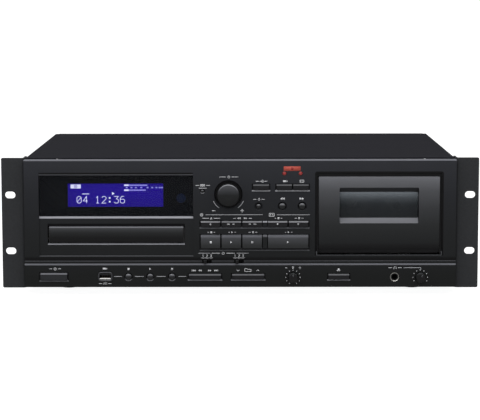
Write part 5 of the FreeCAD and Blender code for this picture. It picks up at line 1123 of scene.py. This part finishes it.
@dataclass
class DisplayUnit:
    """The lit field behind the smoked window, with plain digits, bars and scale marks.

    The remote sensor's filter and the two thin lines over the window belong to it too: a grey line
    painted as the highlight on the frame's edge, and a dark line painted as the shade of the groove
    above it.
    """

    middle: Place = (-125.7, 100.6)
    wide: float = 96.3
    high: float = 23.8
    depth: float = -141.15
    digit_base: float = 92.4
    digit_high: float = 6.8
    digit_weight: float = 0.56
    digit_stretch: float = 1.12
    segment: float = 1.4
    segment_step: float = 1.55
    sensor_middle: Place = (-59.5, 97.5)
    sensor_cap: tuple[Place, ...] = ((-143.85, 0), (-143.85, 4.7), (-142.0, 4.7), (-142.0, 0))
    window_middle: float = -124.95
    window_wide: float = 155.1
    line_thick: float = 0.3

    def build(self) -> None:
        """Make the field and everything lit on it, the sensor's filter and the painted highlight and shade
        lines over the window.
        """
        x, z = self.middle
        glass = self.box(x - self.wide / 2, z - self.high / 2, self.wide, self.high)
        self.light("display_field", [glass], self.depth, LIT_FIELD)
        self.light("display_marks", self.clock(), self.depth - INK_LIFT, LIT_MARKS)
        self.light("display_scale", self.meter(), self.depth - INK_LIFT, LIT_SCALE)
        self.light("display_source_ring", Sign.DISC.grids(-166.0, 109.3, 3.2), self.depth - 2 * INK_LIFT,
                   LIT_FIELD)
        Piece("remote_sensor_filter", "chassis", "display_glass", SENSOR_FILTER,
              [lathe(*self.sensor_middle, rounded(self.sensor_cap, 0.5), steps=48)]).build()
        # A grey line painted as the highlight on the frame's edge, and a dark line painted as the groove's
        # shade.
        self.line("display_window_highlight_line", 121.75, 0.6, -147.9, TRIM_HIGHLIGHT_ABS)
        self.line("display_frame_shade_line", 123.3, 1.5, FACE_Y - 0.04, SURROUND_SHADE_ABS)

    def light(self, name: str, flats: list[Grid], depth: float, finish: Finish) -> None:
        """Make lit flat shapes at a depth, riding with the display."""
        lay_flats(name, "chassis", "display_glass", finish, flats, depth)

    def line(self, name: str, z: float, high: float, front: float, finish: Finish) -> None:
        """Make a thin line over the window; the two such lines are a painted highlight and a painted shade.

        Args:
            name: the piece's name.
            z: the height of its middle.
            high: its height.
            front: the depth Y of its front.
            finish: its finish.
        """
        strip = slab((self.window_middle, z), self.window_wide, high, 0.1, front, front + self.line_thick)
        Piece(name, "chassis", "panel_plastic", finish, [strip]).build()

    @staticmethod
    def box(x: float, z: float, wide: float, high: float) -> Grid:
        """Span a flat box from its lower left corner."""
        return patch((x, z), (x + wide, z), (x + wide, z + high), (x, z + high))

    def clock(self) -> list[Grid]:
        """Draw the track and time digits, the play sign, the source box and the meter's first segments.

        Returns:
            Flat (x, z) grids.
        """
        marks = []
        for text, left, pitch in (("04", -164.8, 6.4), ("12", -146.1, 6.5), ("36", -127.2, 6.2)):
            marks += digits(text, left, self.digit_base, self.digit_high, pitch, self.digit_weight,
                            self.digit_stretch)
        marks += [self.box(-132.5, z, 1.6, 1.6) for z in (93.0, 96.8)]
        marks += Sign.PLAY.grids(-128.0, 102.1, 3.2)
        marks += [self.box(-171.1, 107.3, 10.3, 4.0)]
        marks += [self.box(-117, low, 4.6, 1.6) for low in (109.7, 104.7)]
        return marks + [stroke([(-159.6, 101.7), (-152.4, 101.7)], 0.7)]

    def meter(self) -> list[Grid]:
        """Draw the two rows of level segments and the marks of the scale between them.

        Returns:
            Flat (x, z) grids.
        """
        rows = ((109.8, -94), (104.8, -96))
        marks = [self.box(x, low, self.segment, self.segment)
                 for low, last in rows for x in np.arange(-112.1, last, self.segment_step)]
        return marks + [self.box(x, 107.4, 1.8, 1.4)
                        for x in (-115.3, -110.5, -106.0, -100.5, -94.2, -89.5, -85.3, -82.0, -79.6)]


# Controls

@dataclass
class Knob:
    """A turned knob with a rounded front edge, in place of its plain solid.

    Its front is hollow by a little: it lies 0.3 of the edge back at its middle and comes up to the
    front at 0.45 of the crown. The shaft and the pointer's ends are shares of the radius, and the
    pointer is an angle in degrees, clockwise from straight up.
    """

    node: str
    body: str
    middle: Place
    radius: float
    front: float
    foot: float
    edge: float
    finish: Finish = KNOB_ABS
    taper: float = 0.0
    flutes: int = 0
    pointer: float | None = None
    flute_depth: float = 0.25
    shaft_share: float = 0.3
    pointer_reach: tuple[float, float] = (0.3, 0.8)
    pointer_wide: float = 0.9

    def build(self) -> None:
        """Make the knob, and its pointer where it has one."""
        x, z = self.middle
        shaft, crown = self.radius * self.shaft_share, self.radius - self.taper
        end = float(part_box(self.node)[1].y / MM)
        profile = rounded([(self.front + self.edge * 0.3, 0), (self.front, crown * 0.45),
                           (self.front, crown - self.edge * 0.2), (self.foot, self.radius),
                           (self.foot, shaft), (end, shaft), (end, 0)], self.edge, steps=7)
        grid = lathe(x, z, profile, steps=144 if self.flutes else 96, flutes=self.flutes,
                     flute_depth=self.flute_depth)
        Piece(self.node + "_turned", self.body, "knob_plastic", self.finish, [grid],
              stands_for=(self.node,)).build()
        if self.pointer is not None:
            turn = math.radians(self.pointer)
            run = [(x + math.sin(turn) * self.radius * share, z + math.cos(turn) * self.radius * share)
                   for share in self.pointer_reach]
            lay_flats(self.node + "_pointer", self.body, "knob_plastic", POINTER_INK,
                      [stroke(run, self.pointer_wide)], self.front - INK_LIFT * 0.5, thick=INK_LIFT)


@dataclass
class DomedButton:
    """A round push button with a smooth dome, in place of its plain solid.

    The dome at angle a is (front + b (1 - cos a), r sin a), where b is its bulge and r its radius.
    """

    node: str
    middle: Place
    radius: float
    face: float
    proud: float = 1.0
    bulge_share: float = 0.45
    stem_share: float = 0.6
    lip_behind: float = 3.3
    lip_thick: float = 1.0
    lip_wide: float = 1.2

    def build(self) -> None:
        """Make the dome, its lip behind the panel and its stem."""
        x, z = self.middle
        front, seat = self.face - self.proud, self.face + self.lip_behind
        outer, stem = self.radius + self.lip_wide, self.radius * self.stem_share
        end = float(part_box(self.node)[1].y / MM)
        turn = np.linspace(0, np.pi / 2, 12)
        dome = np.stack([front + self.radius * self.bulge_share * (1 - np.cos(turn)),
                         self.radius * np.sin(turn)], axis=1)
        lip = [(seat, self.radius), (seat, outer), (seat + self.lip_thick, outer),
               (seat + self.lip_thick, stem), (end, stem), (end, 0)]
        Piece(self.node + "_domed", self.node + "_cap", "key_plastic", ROUND_BUTTON_ABS,
              [lathe(x, z, np.vstack([dome, lip]), steps=48)], stands_for=(self.node,)).build()


KeyMarks = tuple[tuple[str, tuple[tuple[Sign, float, float], ...]], ...]


@dataclass
class KeySigns:
    """The signs printed on the keys themselves, each riding on its key.

    A row of marks gives a key's node, and each of its signs with its place across and its height.
    """

    wide_front: float = -150.9
    wide_z: float = 53.7
    thin_front: float = -150.1
    thin_z: float = 72.0
    wide_marks: KeyMarks = (
        ("disc_stop_button", ((Sign.STOP, -29.5, 2.2),)),
        ("disc_play_button", ((Sign.PLAY, -8.9, 2.2),)),
        ("disc_pause_button", ((Sign.PAUSE, 12.2, 2.2),)),
        ("tape_play_button", ((Sign.PLAY, 48.2, 2.2),)))
    thin_marks: KeyMarks = (
        ("disc_open_key", ((Sign.EJECT, -29.8, 1.5),)),
        ("disc_skip_back_key", ((Sign.SKIP_BACK, -11.6, 1.3), (Sign.REWIND, -6.9, 1.3))),
        ("disc_skip_forward_key", ((Sign.FORWARD, 10.0, 1.3), (Sign.SKIP_FORWARD, 14.8, 1.3))),
        ("tape_stop_key", ((Sign.STOP, 37.8, 1.4),)),
        ("tape_pause_key", ((Sign.PAUSE, 58.6, 1.4),)))

    def build(self) -> None:
        """Print the signs of the wide and the thin keys."""
        for rows, z, face in ((self.wide_marks, self.wide_z, self.wide_front),
                              (self.thin_marks, self.thin_z, self.thin_front)):
            for node, marks in rows:
                flats = [grid for sign, x, high in marks for grid in sign.grids(x, z, high)]
                lay_flats(node + "_sign", node + "_cap", "key_plastic", WHITE_INK, flats, face - INK_LIFT)


# Openings, sockets and screws

def edge_skin(name: str, finish: Finish, run: Grid, section: list[Place], thick: float = 0.06) -> None:
    """Make a thin skin along part of the edge of the cassette door's opening.

    Args:
        name: the piece's name.
        finish: its finish.
        run: the part of the edge.
        section: rows of (distance to the run's left, depth Y).
        thick: how thick the skin is.
    """
    Piece(name, "chassis", "panel_plastic", finish, [facing(rim(run, section, closed=False), TO_FRONT)],
          thick=thick, closed=False).build()


@dataclass
class DoorSurroundShade:
    """The dark rim of the cassette door's opening, painted shade along its edge, and the ledges in its
    gap, dark sheets set where the gap shows only shade.

    A section is rows of how far it lies out of the opening's edge and how far behind the face.
    """

    left: float = DOOR_LEFT
    right: float = DOOR_RIGHT
    low: float = DOOR_LOW
    high: float = 123.4
    rim_section: tuple[Place, ...] = ((1.6, -0.01), (1.45, -0.12), (-0.05, -0.12), (-0.15, 0.05))
    rim_corner: float = 0.8
    side_ledge: float = 1.95
    top_ledge: float = 3.45
    ledge_low: float = 41.0
    ledge_front: float = -145.95
    ledge_thick: float = 0.9
    ledge_overlap: float = 2.5

    def build(self) -> None:
        """Make the rim up, over and down the opening, and the three ledges."""
        left, right, low, high = self.left, self.right, self.low, self.high
        over = rounded([(left, low), (left, high), (right, high), (right, low)], self.rim_corner)
        section = [(out, FACE_Y + behind) for out, behind in self.rim_section]
        section.append((self.rim_section[-1][0], self.ledge_front))
        # The rim paints the shade along the opening's edge, and the ledges stand where the gap shows only
        # shade.
        edge_skin("door_surround", SURROUND_SHADE_ABS, over, section)
        Piece("door_gap_shade_ledges", "chassis", "panel_plastic", SURROUND_SHADE_ABS, self.ledges()).build()

    def ledges(self) -> list[Grid]:
        """Give the ledges at the left, the right and the top, which run on behind the panel.

        Returns:
            The grids of three closed blocks.
        """
        left, right, foot = self.left, self.right, self.ledge_low
        head, over = self.high + self.ledge_overlap, self.ledge_overlap
        blocks = ((left - over, left + self.side_ledge, foot, head),
                  (right - self.side_ledge, right + over, foot, head),
                  (left + self.side_ledge, right - self.side_ledge, self.high - self.top_ledge, head))
        return [slab(((near + far) / 2, (low + high) / 2), far - near, high - low, 0.1, self.ledge_front,
                     self.ledge_front + self.ledge_thick) for near, far, low, high in blocks]


@dataclass
class DrawerGapShade:
    """The felt strip in the gap over the drawer's front, a near-black sheet set there as painted shade."""

    middle: Place = (-124.9, 70.9)
    wide: float = 138.2
    high: float = 2.7
    front: float = -146.2
    back: float = -145.4

    def build(self) -> None:
        """Lay the strip along the top of the drawer's opening."""
        strip = slab(self.middle, self.wide, self.high, 0.2, self.front, self.back)
        # A near-black strip set as painted shade in the gap over the drawer.
        Piece("drawer_gap_shade_strip", "chassis", "tray_plastic", GAP_SHADE_FELT, [strip]).build()


@dataclass
class DoorLipHighlight:
    """The light lip along the foot of the cassette door's opening, a painted highlight that turns up a little
    at its ends.
    """

    left: float = DOOR_LEFT
    right: float = DOOR_RIGHT
    low: float = DOOR_LOW
    section: tuple[Place, ...] = ((-0.4, -0.13), (0.4, -0.13), (0.55, 0.1), (0.55, 0.7))
    corner: float = 1.2
    rise: float = 4.0

    def build(self) -> None:
        """Make the lip along the foot and up both sides."""
        top = self.low + self.rise
        foot = rounded([(self.left, top), (self.left, self.low), (self.right, self.low),
                        (self.right, top)], self.corner)
        bead = [(out, FACE_Y + behind) for out, behind in self.section]
        # A painted highlight along the foot of the opening.
        edge_skin("door_opening_highlight_lip", LIP_HIGHLIGHT_ABS, foot, bead)


@dataclass
class DataSocket:
    """The data socket in place of its plain solid: shell, lining, tongue with contacts, and bezel.

    The tops of the tongue, its cover and the contacts are heights over the shell's inner floor, and
    pieces that lie on each other keep the gap between them. The black lining and the tongue's black
    cover are painted shade: dark sheets set where the socket shows only shade. The bezel's grey is a
    painted highlight along the socket's rounded edge.
    """

    middle: Place = (-136.3, 18.7)
    wide: float = 12.9
    high: float = 5.5
    front: float = -150.3
    back: float = -136.3
    sheet: float = 0.35
    corner: float = 0.9
    stand_foot: float = 13.0
    stand_back: float = -133.5
    edge: float = 0.12
    lining: float = 0.2
    tongue_half: float = 5.4
    tongue_top: float = 0.8
    cover_half: float = 5.3
    cover_top: float = 1.0
    contact_half: float = 0.5
    contact_top: float = 1.1
    contact_places: tuple[float, ...] = (-3.5, -1.2, 1.2, 3.5)
    gap: float = 0.01
    bezel: Place = (13.5, 8.3)
    bezel_corner: float = 2.8
    bezel_section: tuple[Place, ...] = (
        (-0.4, -149.9), (-0.4, -150.95), (-0.2, -151.2), (0.2, -151.2), (0.4, -150.95), (0.4, -149.9),
        (-0.4, -149.9))

    def outline(self, inset: float) -> Grid:
        """Give the shell's outline, drawn in by an inset."""
        return frame_run(self.middle, self.wide - 2 * inset, self.high - 2 * inset,
                         max(self.corner - inset, 0.2))

    def tube(self, *rows: Place) -> Grid:
        """Carry the shell's outline through rows of (inset, depth Y)."""
        return carry(self.middle, [(self.outline(inset), depth) for inset, depth in rows])

    def block(self, left: float, right: float, low: float, high: float, front: float, back: float) -> Grid:
        """Span a block with rounded long edges by its sides, its foot and head and its two depths."""
        return slab(((left + right) / 2, (low + high) / 2), right - left, high - low, 0.15, front, back)

    def build(self) -> None:
        """Make the shell with its stand, the black lining of painted shade, the pale tongue, four contacts
        and the bezel.
        """
        x, z = self.middle
        front, back, sheet, half = self.front, self.back, self.sheet, self.wide / 2
        low = z - self.high / 2
        floor, inner = low + sheet + 0.02, sheet + self.gap
        shell = self.tube((0, back), (0, front + self.edge), (self.edge, front), (sheet - 0.1, front),
                          (sheet, front + self.edge), (sheet, back - 1))
        stand = self.block(x - half, x + half, self.stand_foot, low, back - 0.2, self.stand_back)
        Piece("data_socket_shell", "chassis", "plated_metal", SOCKET_STEEL, [shell, stand],
              stands_for=("usb_socket",)).build()
        # The lining and the cover over the tongue are painted shade: black sheets set where the socket's
        # inside shows only shade.
        lining = self.tube((inner, back - 1.1), (inner, front + 0.3), (sheet + self.lining, front + 0.3),
                           (sheet + self.lining, back - 1.4))
        cover = self.block(x - self.cover_half, x + self.cover_half, floor + self.tongue_top + self.gap,
                           floor + self.cover_top, front + 0.5, back - 1.5)
        Piece("data_socket_shade_lining", "chassis", "panel_plastic", CONNECTOR_NYLON, [lining, cover]).build()
        tongue = self.block(x - self.tongue_half, x + self.tongue_half, low + 0.05,
                            floor + self.tongue_top, front - 0.05, back - 1.5)
        Piece("data_socket_tongue", "chassis", "panel_plastic", PALE_NYLON, [tongue]).build()
        contacts = [self.block(x + way - self.contact_half, x + way + self.contact_half,
                               floor + self.cover_top + self.gap, floor + self.contact_top, front + 1.6,
                               back - 1.6) for way in self.contact_places]
        Piece("data_socket_contacts", "chassis", "plated_metal", GOLD_FLASH, contacts).build()
        # The bezel's light grey is a painted highlight along the rounded edge of the socket's recess.
        ring = frame_run((x + 0.1, z), *self.bezel, self.bezel_corner)[:-1]
        Piece("data_socket_bezel", "chassis", "panel_plastic", BEZEL_HIGHLIGHT_ABS,
              [rim(ring, self.bezel_section)]).build()


@dataclass
class PhonesJack:
    """The headphone socket in place of its plain solid: a plated ring with a round lip on a black body."""

    middle: Place = (155.8, 18.2)
    ring: tuple[Place, ...] = ((-147.0, 4.5), (-151.3, 4.5), (-151.6, 4.25), (-150.9, 3.7), (-149.4, 3.62),
                               (-147.0, 3.62))
    body: tuple[Place, ...] = ((-151.0, 3.6), (-148.4, 3.6), (-148.4, 6.6), (-121.6, 6.6), (-121.6, 3.2),
                               (-151.0, 3.2))

    def build(self) -> None:
        """Turn the ring and the body about the socket's line."""
        lip = rounded(self.ring, 0.3, closed=True)
        Piece("phones_jack_ring", "chassis", "plated_metal", RING_NICKEL,
              [lathe(*self.middle, np.vstack([lip, lip[:1]]))]).build()
        Piece("phones_jack_body", "chassis", "panel_plastic", JACK_NYLON,
              [lathe(*self.middle, [*self.body, self.body[0]])], stands_for=("phones_jack",)).build()


@dataclass
class LineJacks:
    """The line sockets at the back in place of their plain solid.

    Each housing has two sockets with a collar, a plated shell and a coloured ring. A profile is rows
    of (y, r) about the socket's line.
    """

    columns: tuple[float, ...] = (20.0, 54.0, 88.0)
    rows: tuple[float, float] = (43.5, 29.5)
    housing_middle: float = 33.15
    housing: Place = (16.0, 36.7)
    housing_depths: Place = (137.3, 149.3)
    round_steps: int = 32
    collar: tuple[Place, ...] = ((149.2, 0), (149.2, 4.0), (151.7, 4.0), (151.7, 0))
    shell: tuple[Place, ...] = (
        (150.6, 4.15), (159.2, 4.15), (159.5, 3.9), (159.3, 3.4), (151.6, 3.4), (150.6, 4.15))
    ring: tuple[Place, ...] = (
        (151.6, 3.38), (158.7, 3.38), (159.0, 3.0), (159.0, 1.9), (158.7, 1.7), (151.6, 1.7), (151.6, 3.38))

    def build(self) -> None:
        """Make the housings with their collars, the six shells, and white rings over red ones."""
        housings = []
        for x in self.columns:
            housings.append(slab((x, self.housing_middle), *self.housing, 0.8, *self.housing_depths))
            housings += self.turned(self.collar, [(x, z) for z in self.rows])
        Piece("line_jack_housings", "chassis", "panel_plastic", CONNECTOR_NYLON, housings,
              stands_for=("line_jacks",)).build()
        shells = self.turned(self.shell, [(x, z) for x in self.columns for z in self.rows])
        Piece("line_jack_shells", "chassis", "plated_metal", NICKEL, shells).build()
        for z, side, finish in zip(self.rows, ("left", "right"), (WHITE_RING, RED_RING)):
            rings = self.turned(self.ring, [(x, z) for x in self.columns])
            Piece(f"line_jack_{side}_rings", "chassis", "panel_plastic", finish, rings).build()

    def turned(self, profile: tuple[Place, ...], places: list[Place]) -> list[Grid]:
        """Turn one profile at each place."""
        return [lathe(x, z, profile, steps=self.round_steps) for x, z in places]


@dataclass
class CaseScrews:
    """Domed screw heads with a cross recess, in place of the plain screws.

    The seats are how far from the deck's middle the heads sit: on the sides, the ears and the back.
    """

    radius: float = 2.9
    high: float = 1.8
    shank_radius: float = 1.5
    shank: float = 5.9
    slot: float = 0.42
    cross_share: float = 0.62
    cross_deep: float = 1.1
    side_seat: float = 217.5
    ear_seat: float = 219.5
    rear_seat: float = 151.5
    side_places: tuple[Place, ...] = ((-66.0, 18.0), (79.0, 18.0))
    ear_places: tuple[Place, ...] = ((-126.5, 25.4), (-126.5, 71.75), (-126.5, 118.1))
    rear_places: tuple[Place, ...] = ((-174.0, 132.0), (0.0, 132.0), (174.0, 132.0))

    def screw(self) -> Grid:
        """Give one screw about the line along its length.

        The head's height over its seat is h (1 - (r/R)^4)^0.5, less a cross recess whose depth is
        d times the larger of exp(-(u/w)^6) within the cross's reach, for u across either slot.

        Returns:
            A grid of (along, across, up).
        """
        ring = np.concatenate([np.linspace(0, 0.6, 19), np.linspace(0.64, 1, 10)])[:, None] * self.radius
        turn = np.linspace(0, 2 * np.pi, 65)[None, :]
        across, upward = ring * np.cos(turn), ring * np.sin(turn)
        top = self.high * np.sqrt(np.clip(1 - (ring / self.radius) ** 4, 0, 1)) * np.ones_like(turn)
        reach = np.clip((self.radius * self.cross_share - ring) / 0.25, 0, 1)
        cross = np.maximum(np.exp(-(across / self.slot) ** 6), np.exp(-(upward / self.slot) ** 6)) * reach
        cap = np.stack([top - self.cross_deep * cross, across, upward], axis=-1)
        rows = np.array([(0.0, self.radius), (0.0, self.shank_radius), (-self.shank, self.shank_radius),
                         (-self.shank, 0.0)])
        below = np.stack([rows[:, :1] * np.ones_like(turn), rows[:, 1:] * np.cos(turn),
                          rows[:, 1:] * np.sin(turn)], axis=-1)
        return np.concatenate([cap, below])

    def build(self) -> None:
        """Place every screw: two on each side, three on each ear and three on the rear lip."""
        along, across, upward = np.moveaxis(self.screw(), -1, 0)
        grids = []
        for seat, places in ((self.side_seat, self.side_places), (self.ear_seat, self.ear_places)):
            for side in (-1, 1):
                grids += [np.stack([side * (seat + along), y + across, z + upward], axis=-1)
                          for y, z in places]
        grids += [np.stack([x + across, self.rear_seat + along, z + upward], axis=-1)
                  for x, z in self.rear_places]
        Piece("case_screws_crossed", "chassis", "screw_steel", BLACK_ZINC, grids,
              stands_for=("case_screws",)).build()


# Studio

@dataclass
class Studio:
    """The pale floor and backdrop, the soft lights and the camera at the photograph's place.

    Places are in metres, angles in degrees and the camera's view in pixels. A lamp is its name, its
    place, its width and height, and its power in watts. The paper's glow is how bright it is under
    the deck and away from it, with the distances where these start and end.
    """

    eye: Point = (0.0064, -1.9125, 0.3125)
    pitch: float = 6.664
    yaw: float = -0.208
    roll: float = -0.083
    focal_px: float = 1766.8
    image: tuple[int, int] = (480, 420)
    middle_px: tuple[float, float] = (240.0, 190.0)
    sensor_mm: float = 36.0
    far: float = 60.0
    lamps: tuple[tuple[str, Point, tuple[float, float], float], ...] = (
        ("overhead_softbox", (0.0, -0.35, 1.5), (2.4, 1.2), 20.0),
        ("front_softbox", (0.0, -2.6, 1.3), (2.4, 1.2), 30.0),
        ("side_softbox", (-2.2, -1.2, 1.2), (1.2, 1.2), 10.0))
    lit_point: Point = (0.0, 0.0, 0.1)
    room_light: float = 0.55
    room_seen: float = 1.0
    paper_colour: str = "#a4a4a4"
    paper_glow: tuple[float, float] = (0.86, 0.92)
    paper_glow_at: tuple[float, float] = (0.35, 1.6)
    floor_section: tuple[Place, ...] = ((-8.0, 0.0), (5.0, 0.0), (5.0, 6.0))
    floor_bend: float = 3.0
    floor_half: float = 9.0

    def build(self) -> None:
        """Set up the camera, the floor, the world and the lights."""
        bpy.context.scene.view_settings.view_transform = "Standard"
        self.camera()
        self.floor()
        self.world()
        for name, place, size, power in self.lamps:
            self.lamp(name, place, size, power)

    def camera(self) -> None:
        """Stand the camera where the photograph was taken from, with the same view and frame."""
        pitch, yaw, roll = (math.radians(angle) for angle in (self.pitch, self.yaw, self.roll))
        ahead = Vector((math.sin(yaw) * math.cos(pitch), math.cos(yaw) * math.cos(pitch), -math.sin(pitch)))
        level = Vector((math.cos(yaw), -math.sin(yaw), 0.0))
        over = level.cross(ahead)
        right = math.cos(roll) * level + math.sin(roll) * over
        above = -math.sin(roll) * level + math.cos(roll) * over
        wide, high = self.image
        lens = bpy.data.cameras.new("camera")
        lens.sensor_width = self.sensor_mm
        lens.lens = self.sensor_mm * self.focal_px / wide
        lens.shift_x = (wide / 2 - self.middle_px[0]) / wide
        lens.shift_y = -(high / 2 - self.middle_px[1]) / wide
        lens.clip_end = self.far
        camera = bpy.data.objects.new("camera", lens)
        turn = Matrix((right, above, -ahead)).transposed().to_4x4()
        camera.matrix_world = Matrix.Translation(self.eye) @ turn
        bpy.context.scene.collection.objects.link(camera)
        bpy.context.scene.camera = camera

    def floor(self) -> None:
        """Make the floor and backdrop as one sheet whose section bends up behind the deck."""
        section = rounded(self.floor_section, self.floor_bend, steps=17)
        width = np.linspace(-self.floor_half, self.floor_half, 3)[None, :]
        sheet = np.stack([width * np.ones((len(section), 1)), section[:, :1] * np.ones_like(width),
                          section[:, 1:] * np.ones_like(width)], axis=-1)
        rows, columns = sheet.shape[:2]
        number = np.arange(rows * columns).reshape(rows, columns)
        faces = np.stack([number[:-1, :-1], number[:-1, 1:], number[1:, 1:], number[1:, :-1]], axis=-1)
        mesh = bpy.data.meshes.new("studio_floor")
        mesh.from_pydata(sheet.reshape(-1, 3).tolist(), [], faces.reshape(-1, 4).tolist())
        mesh.materials.append(self.paper())
        floor = bpy.data.objects.new("studio_floor", mesh)
        bpy.context.scene.collection.objects.link(floor)

    def paper(self) -> bpy.types.Material:
        """Make the pale paper, which shows white to the camera and still takes the deck's shadow.

        Returns:
            The paper's material.
        """
        near, far = self.paper_glow_at
        dim, bright = self.paper_glow
        paper = bpy.data.materials.new("studio_paper")
        paper.use_nodes = True
        tree = paper.node_tree
        tree.nodes.clear()
        place = add(tree, "ShaderNodeTexCoord").outputs["Object"]
        away = add(tree, "ShaderNodeVectorMath", {0: place}, operation="LENGTH").outputs["Value"]
        level = add(tree, "ShaderNodeMapRange", {
            "Value": away, "From Min": near, "From Max": far, "To Min": dim, "To Max": bright}).outputs[0]
        lit = add(tree, "ShaderNodeMath", {0: self.seen(tree), 1: level}, operation="MULTIPLY").outputs[0]
        pale = add(tree, "ShaderNodeBsdfDiffuse", {"Color": linear(self.paper_colour)})
        glow = add(tree, "ShaderNodeEmission", {"Color": (1, 1, 1, 1), "Strength": lit})
        both = add(tree, "ShaderNodeAddShader", {0: pale.outputs[0], 1: glow.outputs[0]})
        add(tree, "ShaderNodeOutputMaterial", {"Surface": both.outputs[0]})
        return paper

    @staticmethod
    def seen(tree: bpy.types.NodeTree) -> bpy.types.NodeSocket:
        """Tell the rays that show the background: camera, glossy and transmission rays.

        Args:
            tree: a material's or the world's node tree.

        Returns:
            A socket that is 1 on those rays and 0 on the others.
        """
        path = add(tree, "ShaderNodeLightPath").outputs
        some = add(tree, "ShaderNodeMath", {0: path["Is Camera Ray"], 1: path["Is Glossy Ray"]},
                   operation="MAXIMUM")
        return add(tree, "ShaderNodeMath", {0: some.outputs[0], 1: path["Is Transmission Ray"]},
                   operation="MAXIMUM").outputs[0]

    def world(self) -> None:
        """Light the room softly, and show it white behind the deck."""
        world = bpy.data.worlds.new("studio_room")
        world.use_nodes = True
        tree = world.node_tree
        tree.nodes.clear()
        level = add(tree, "ShaderNodeMapRange", {
            "Value": self.seen(tree), "To Min": self.room_light, "To Max": self.room_seen})
        room = add(tree, "ShaderNodeBackground", {"Color": (1, 1, 1, 1), "Strength": level.outputs[0]})
        add(tree, "ShaderNodeOutputWorld", {"Surface": room.outputs[0]})
        bpy.context.scene.world = world

    def lamp(self, name: str, place: Point, size: tuple[float, float], power: float) -> None:
        """Hang a soft rectangular lamp that faces the deck.

        Args:
            name: the lamp's name.
            place: where it hangs.
            size: its width and height.
            power: its power in watts.
        """
        light = bpy.data.lights.new(name, "AREA")
        light.shape = "RECTANGLE"
        light.size, light.size_y = size
        light.energy = power
        lamp = bpy.data.objects.new(name, light)
        lamp.rotation_mode = "QUATERNION"
        lamp.rotation_quaternion = (Vector(self.lit_point) - Vector(place)).to_track_quat("-Z", "Y")
        lamp.location = place
        bpy.context.scene.collection.objects.link(lamp)


# The whole deck

KNOBS = (
    Knob("record_level_knob", "level_knob", LEVEL_KNOB_AT, radius=11.6, front=-159.5, foot=-149.0, edge=1.4,
         finish=LEVEL_KNOB_ABS, taper=0.4),
    Knob("pitch_knob", "pitch_control", PITCH_KNOB_AT, radius=4.8, front=-158.1, foot=-150.6, edge=0.8,
         flutes=18, pointer=0.0),
    Knob("phones_knob", "phones_control", PHONES_KNOB_AT, radius=4.8, front=-158.1, foot=-150.6, edge=0.8,
         flutes=18, pointer=30.0))
ROUND_BUTTONS = (
    DomedButton("player_stop_button", (-112.7, 18.4), 3.1, STRIP_Y),
    DomedButton("player_play_button", (-90.75, 18.4), 3.1, STRIP_Y),
    DomedButton("player_pause_button", (-68.8, 18.4), 3.1, STRIP_Y),
    DomedButton("rewind_button", (42.5, 89.8), 3.1, FACE_Y),
    DomedButton("fast_forward_button", (62.5, 89.8), 3.1, FACE_Y),
    DomedButton("repeat_button", (18.6, 89.8), 2.2, FACE_Y),
    DomedButton("counter_reset_button", (-37.8, 105.2), 1.4, FACE_Y))


def dress_nodes(nodes: dict[str, bpy.types.Object]) -> None:
    """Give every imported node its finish.

    Args:
        nodes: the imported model's objects by name.

    Raises:
        ValueError: where a node has no finish.
    """
    for finish, names in NODE_FINISH.items():
        for name in names:
            mesh = nodes[name].data
            if not mesh.materials:
                mesh.materials.append(finish.material())
            for n in range(len(mesh.materials)):
                mesh.materials[n] = finish.material()
    missing = set(nodes) - {name for names in NODE_FINISH.values() for name in names}
    if missing:
        raise ValueError(f"these nodes have no finish: {sorted(missing)}")


def main() -> None:
    """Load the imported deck, dress it and set up the studio."""
    logging.basicConfig(level=logging.INFO, format="%(name)s: %(message)s")
    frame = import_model()
    Studio().build()
    dress_nodes(frame["nodes"])
    for part in (PanelSigns(), DisplayUnit(), *KNOBS, *ROUND_BUTTONS, KeySigns(), DoorSurroundShade(),
                 DrawerGapShade(), DoorLipHighlight(), DataSocket(), PhonesJack(), LineJacks(), CaseScrews()):
        part.build()


if __name__ == "__main__":
    main()
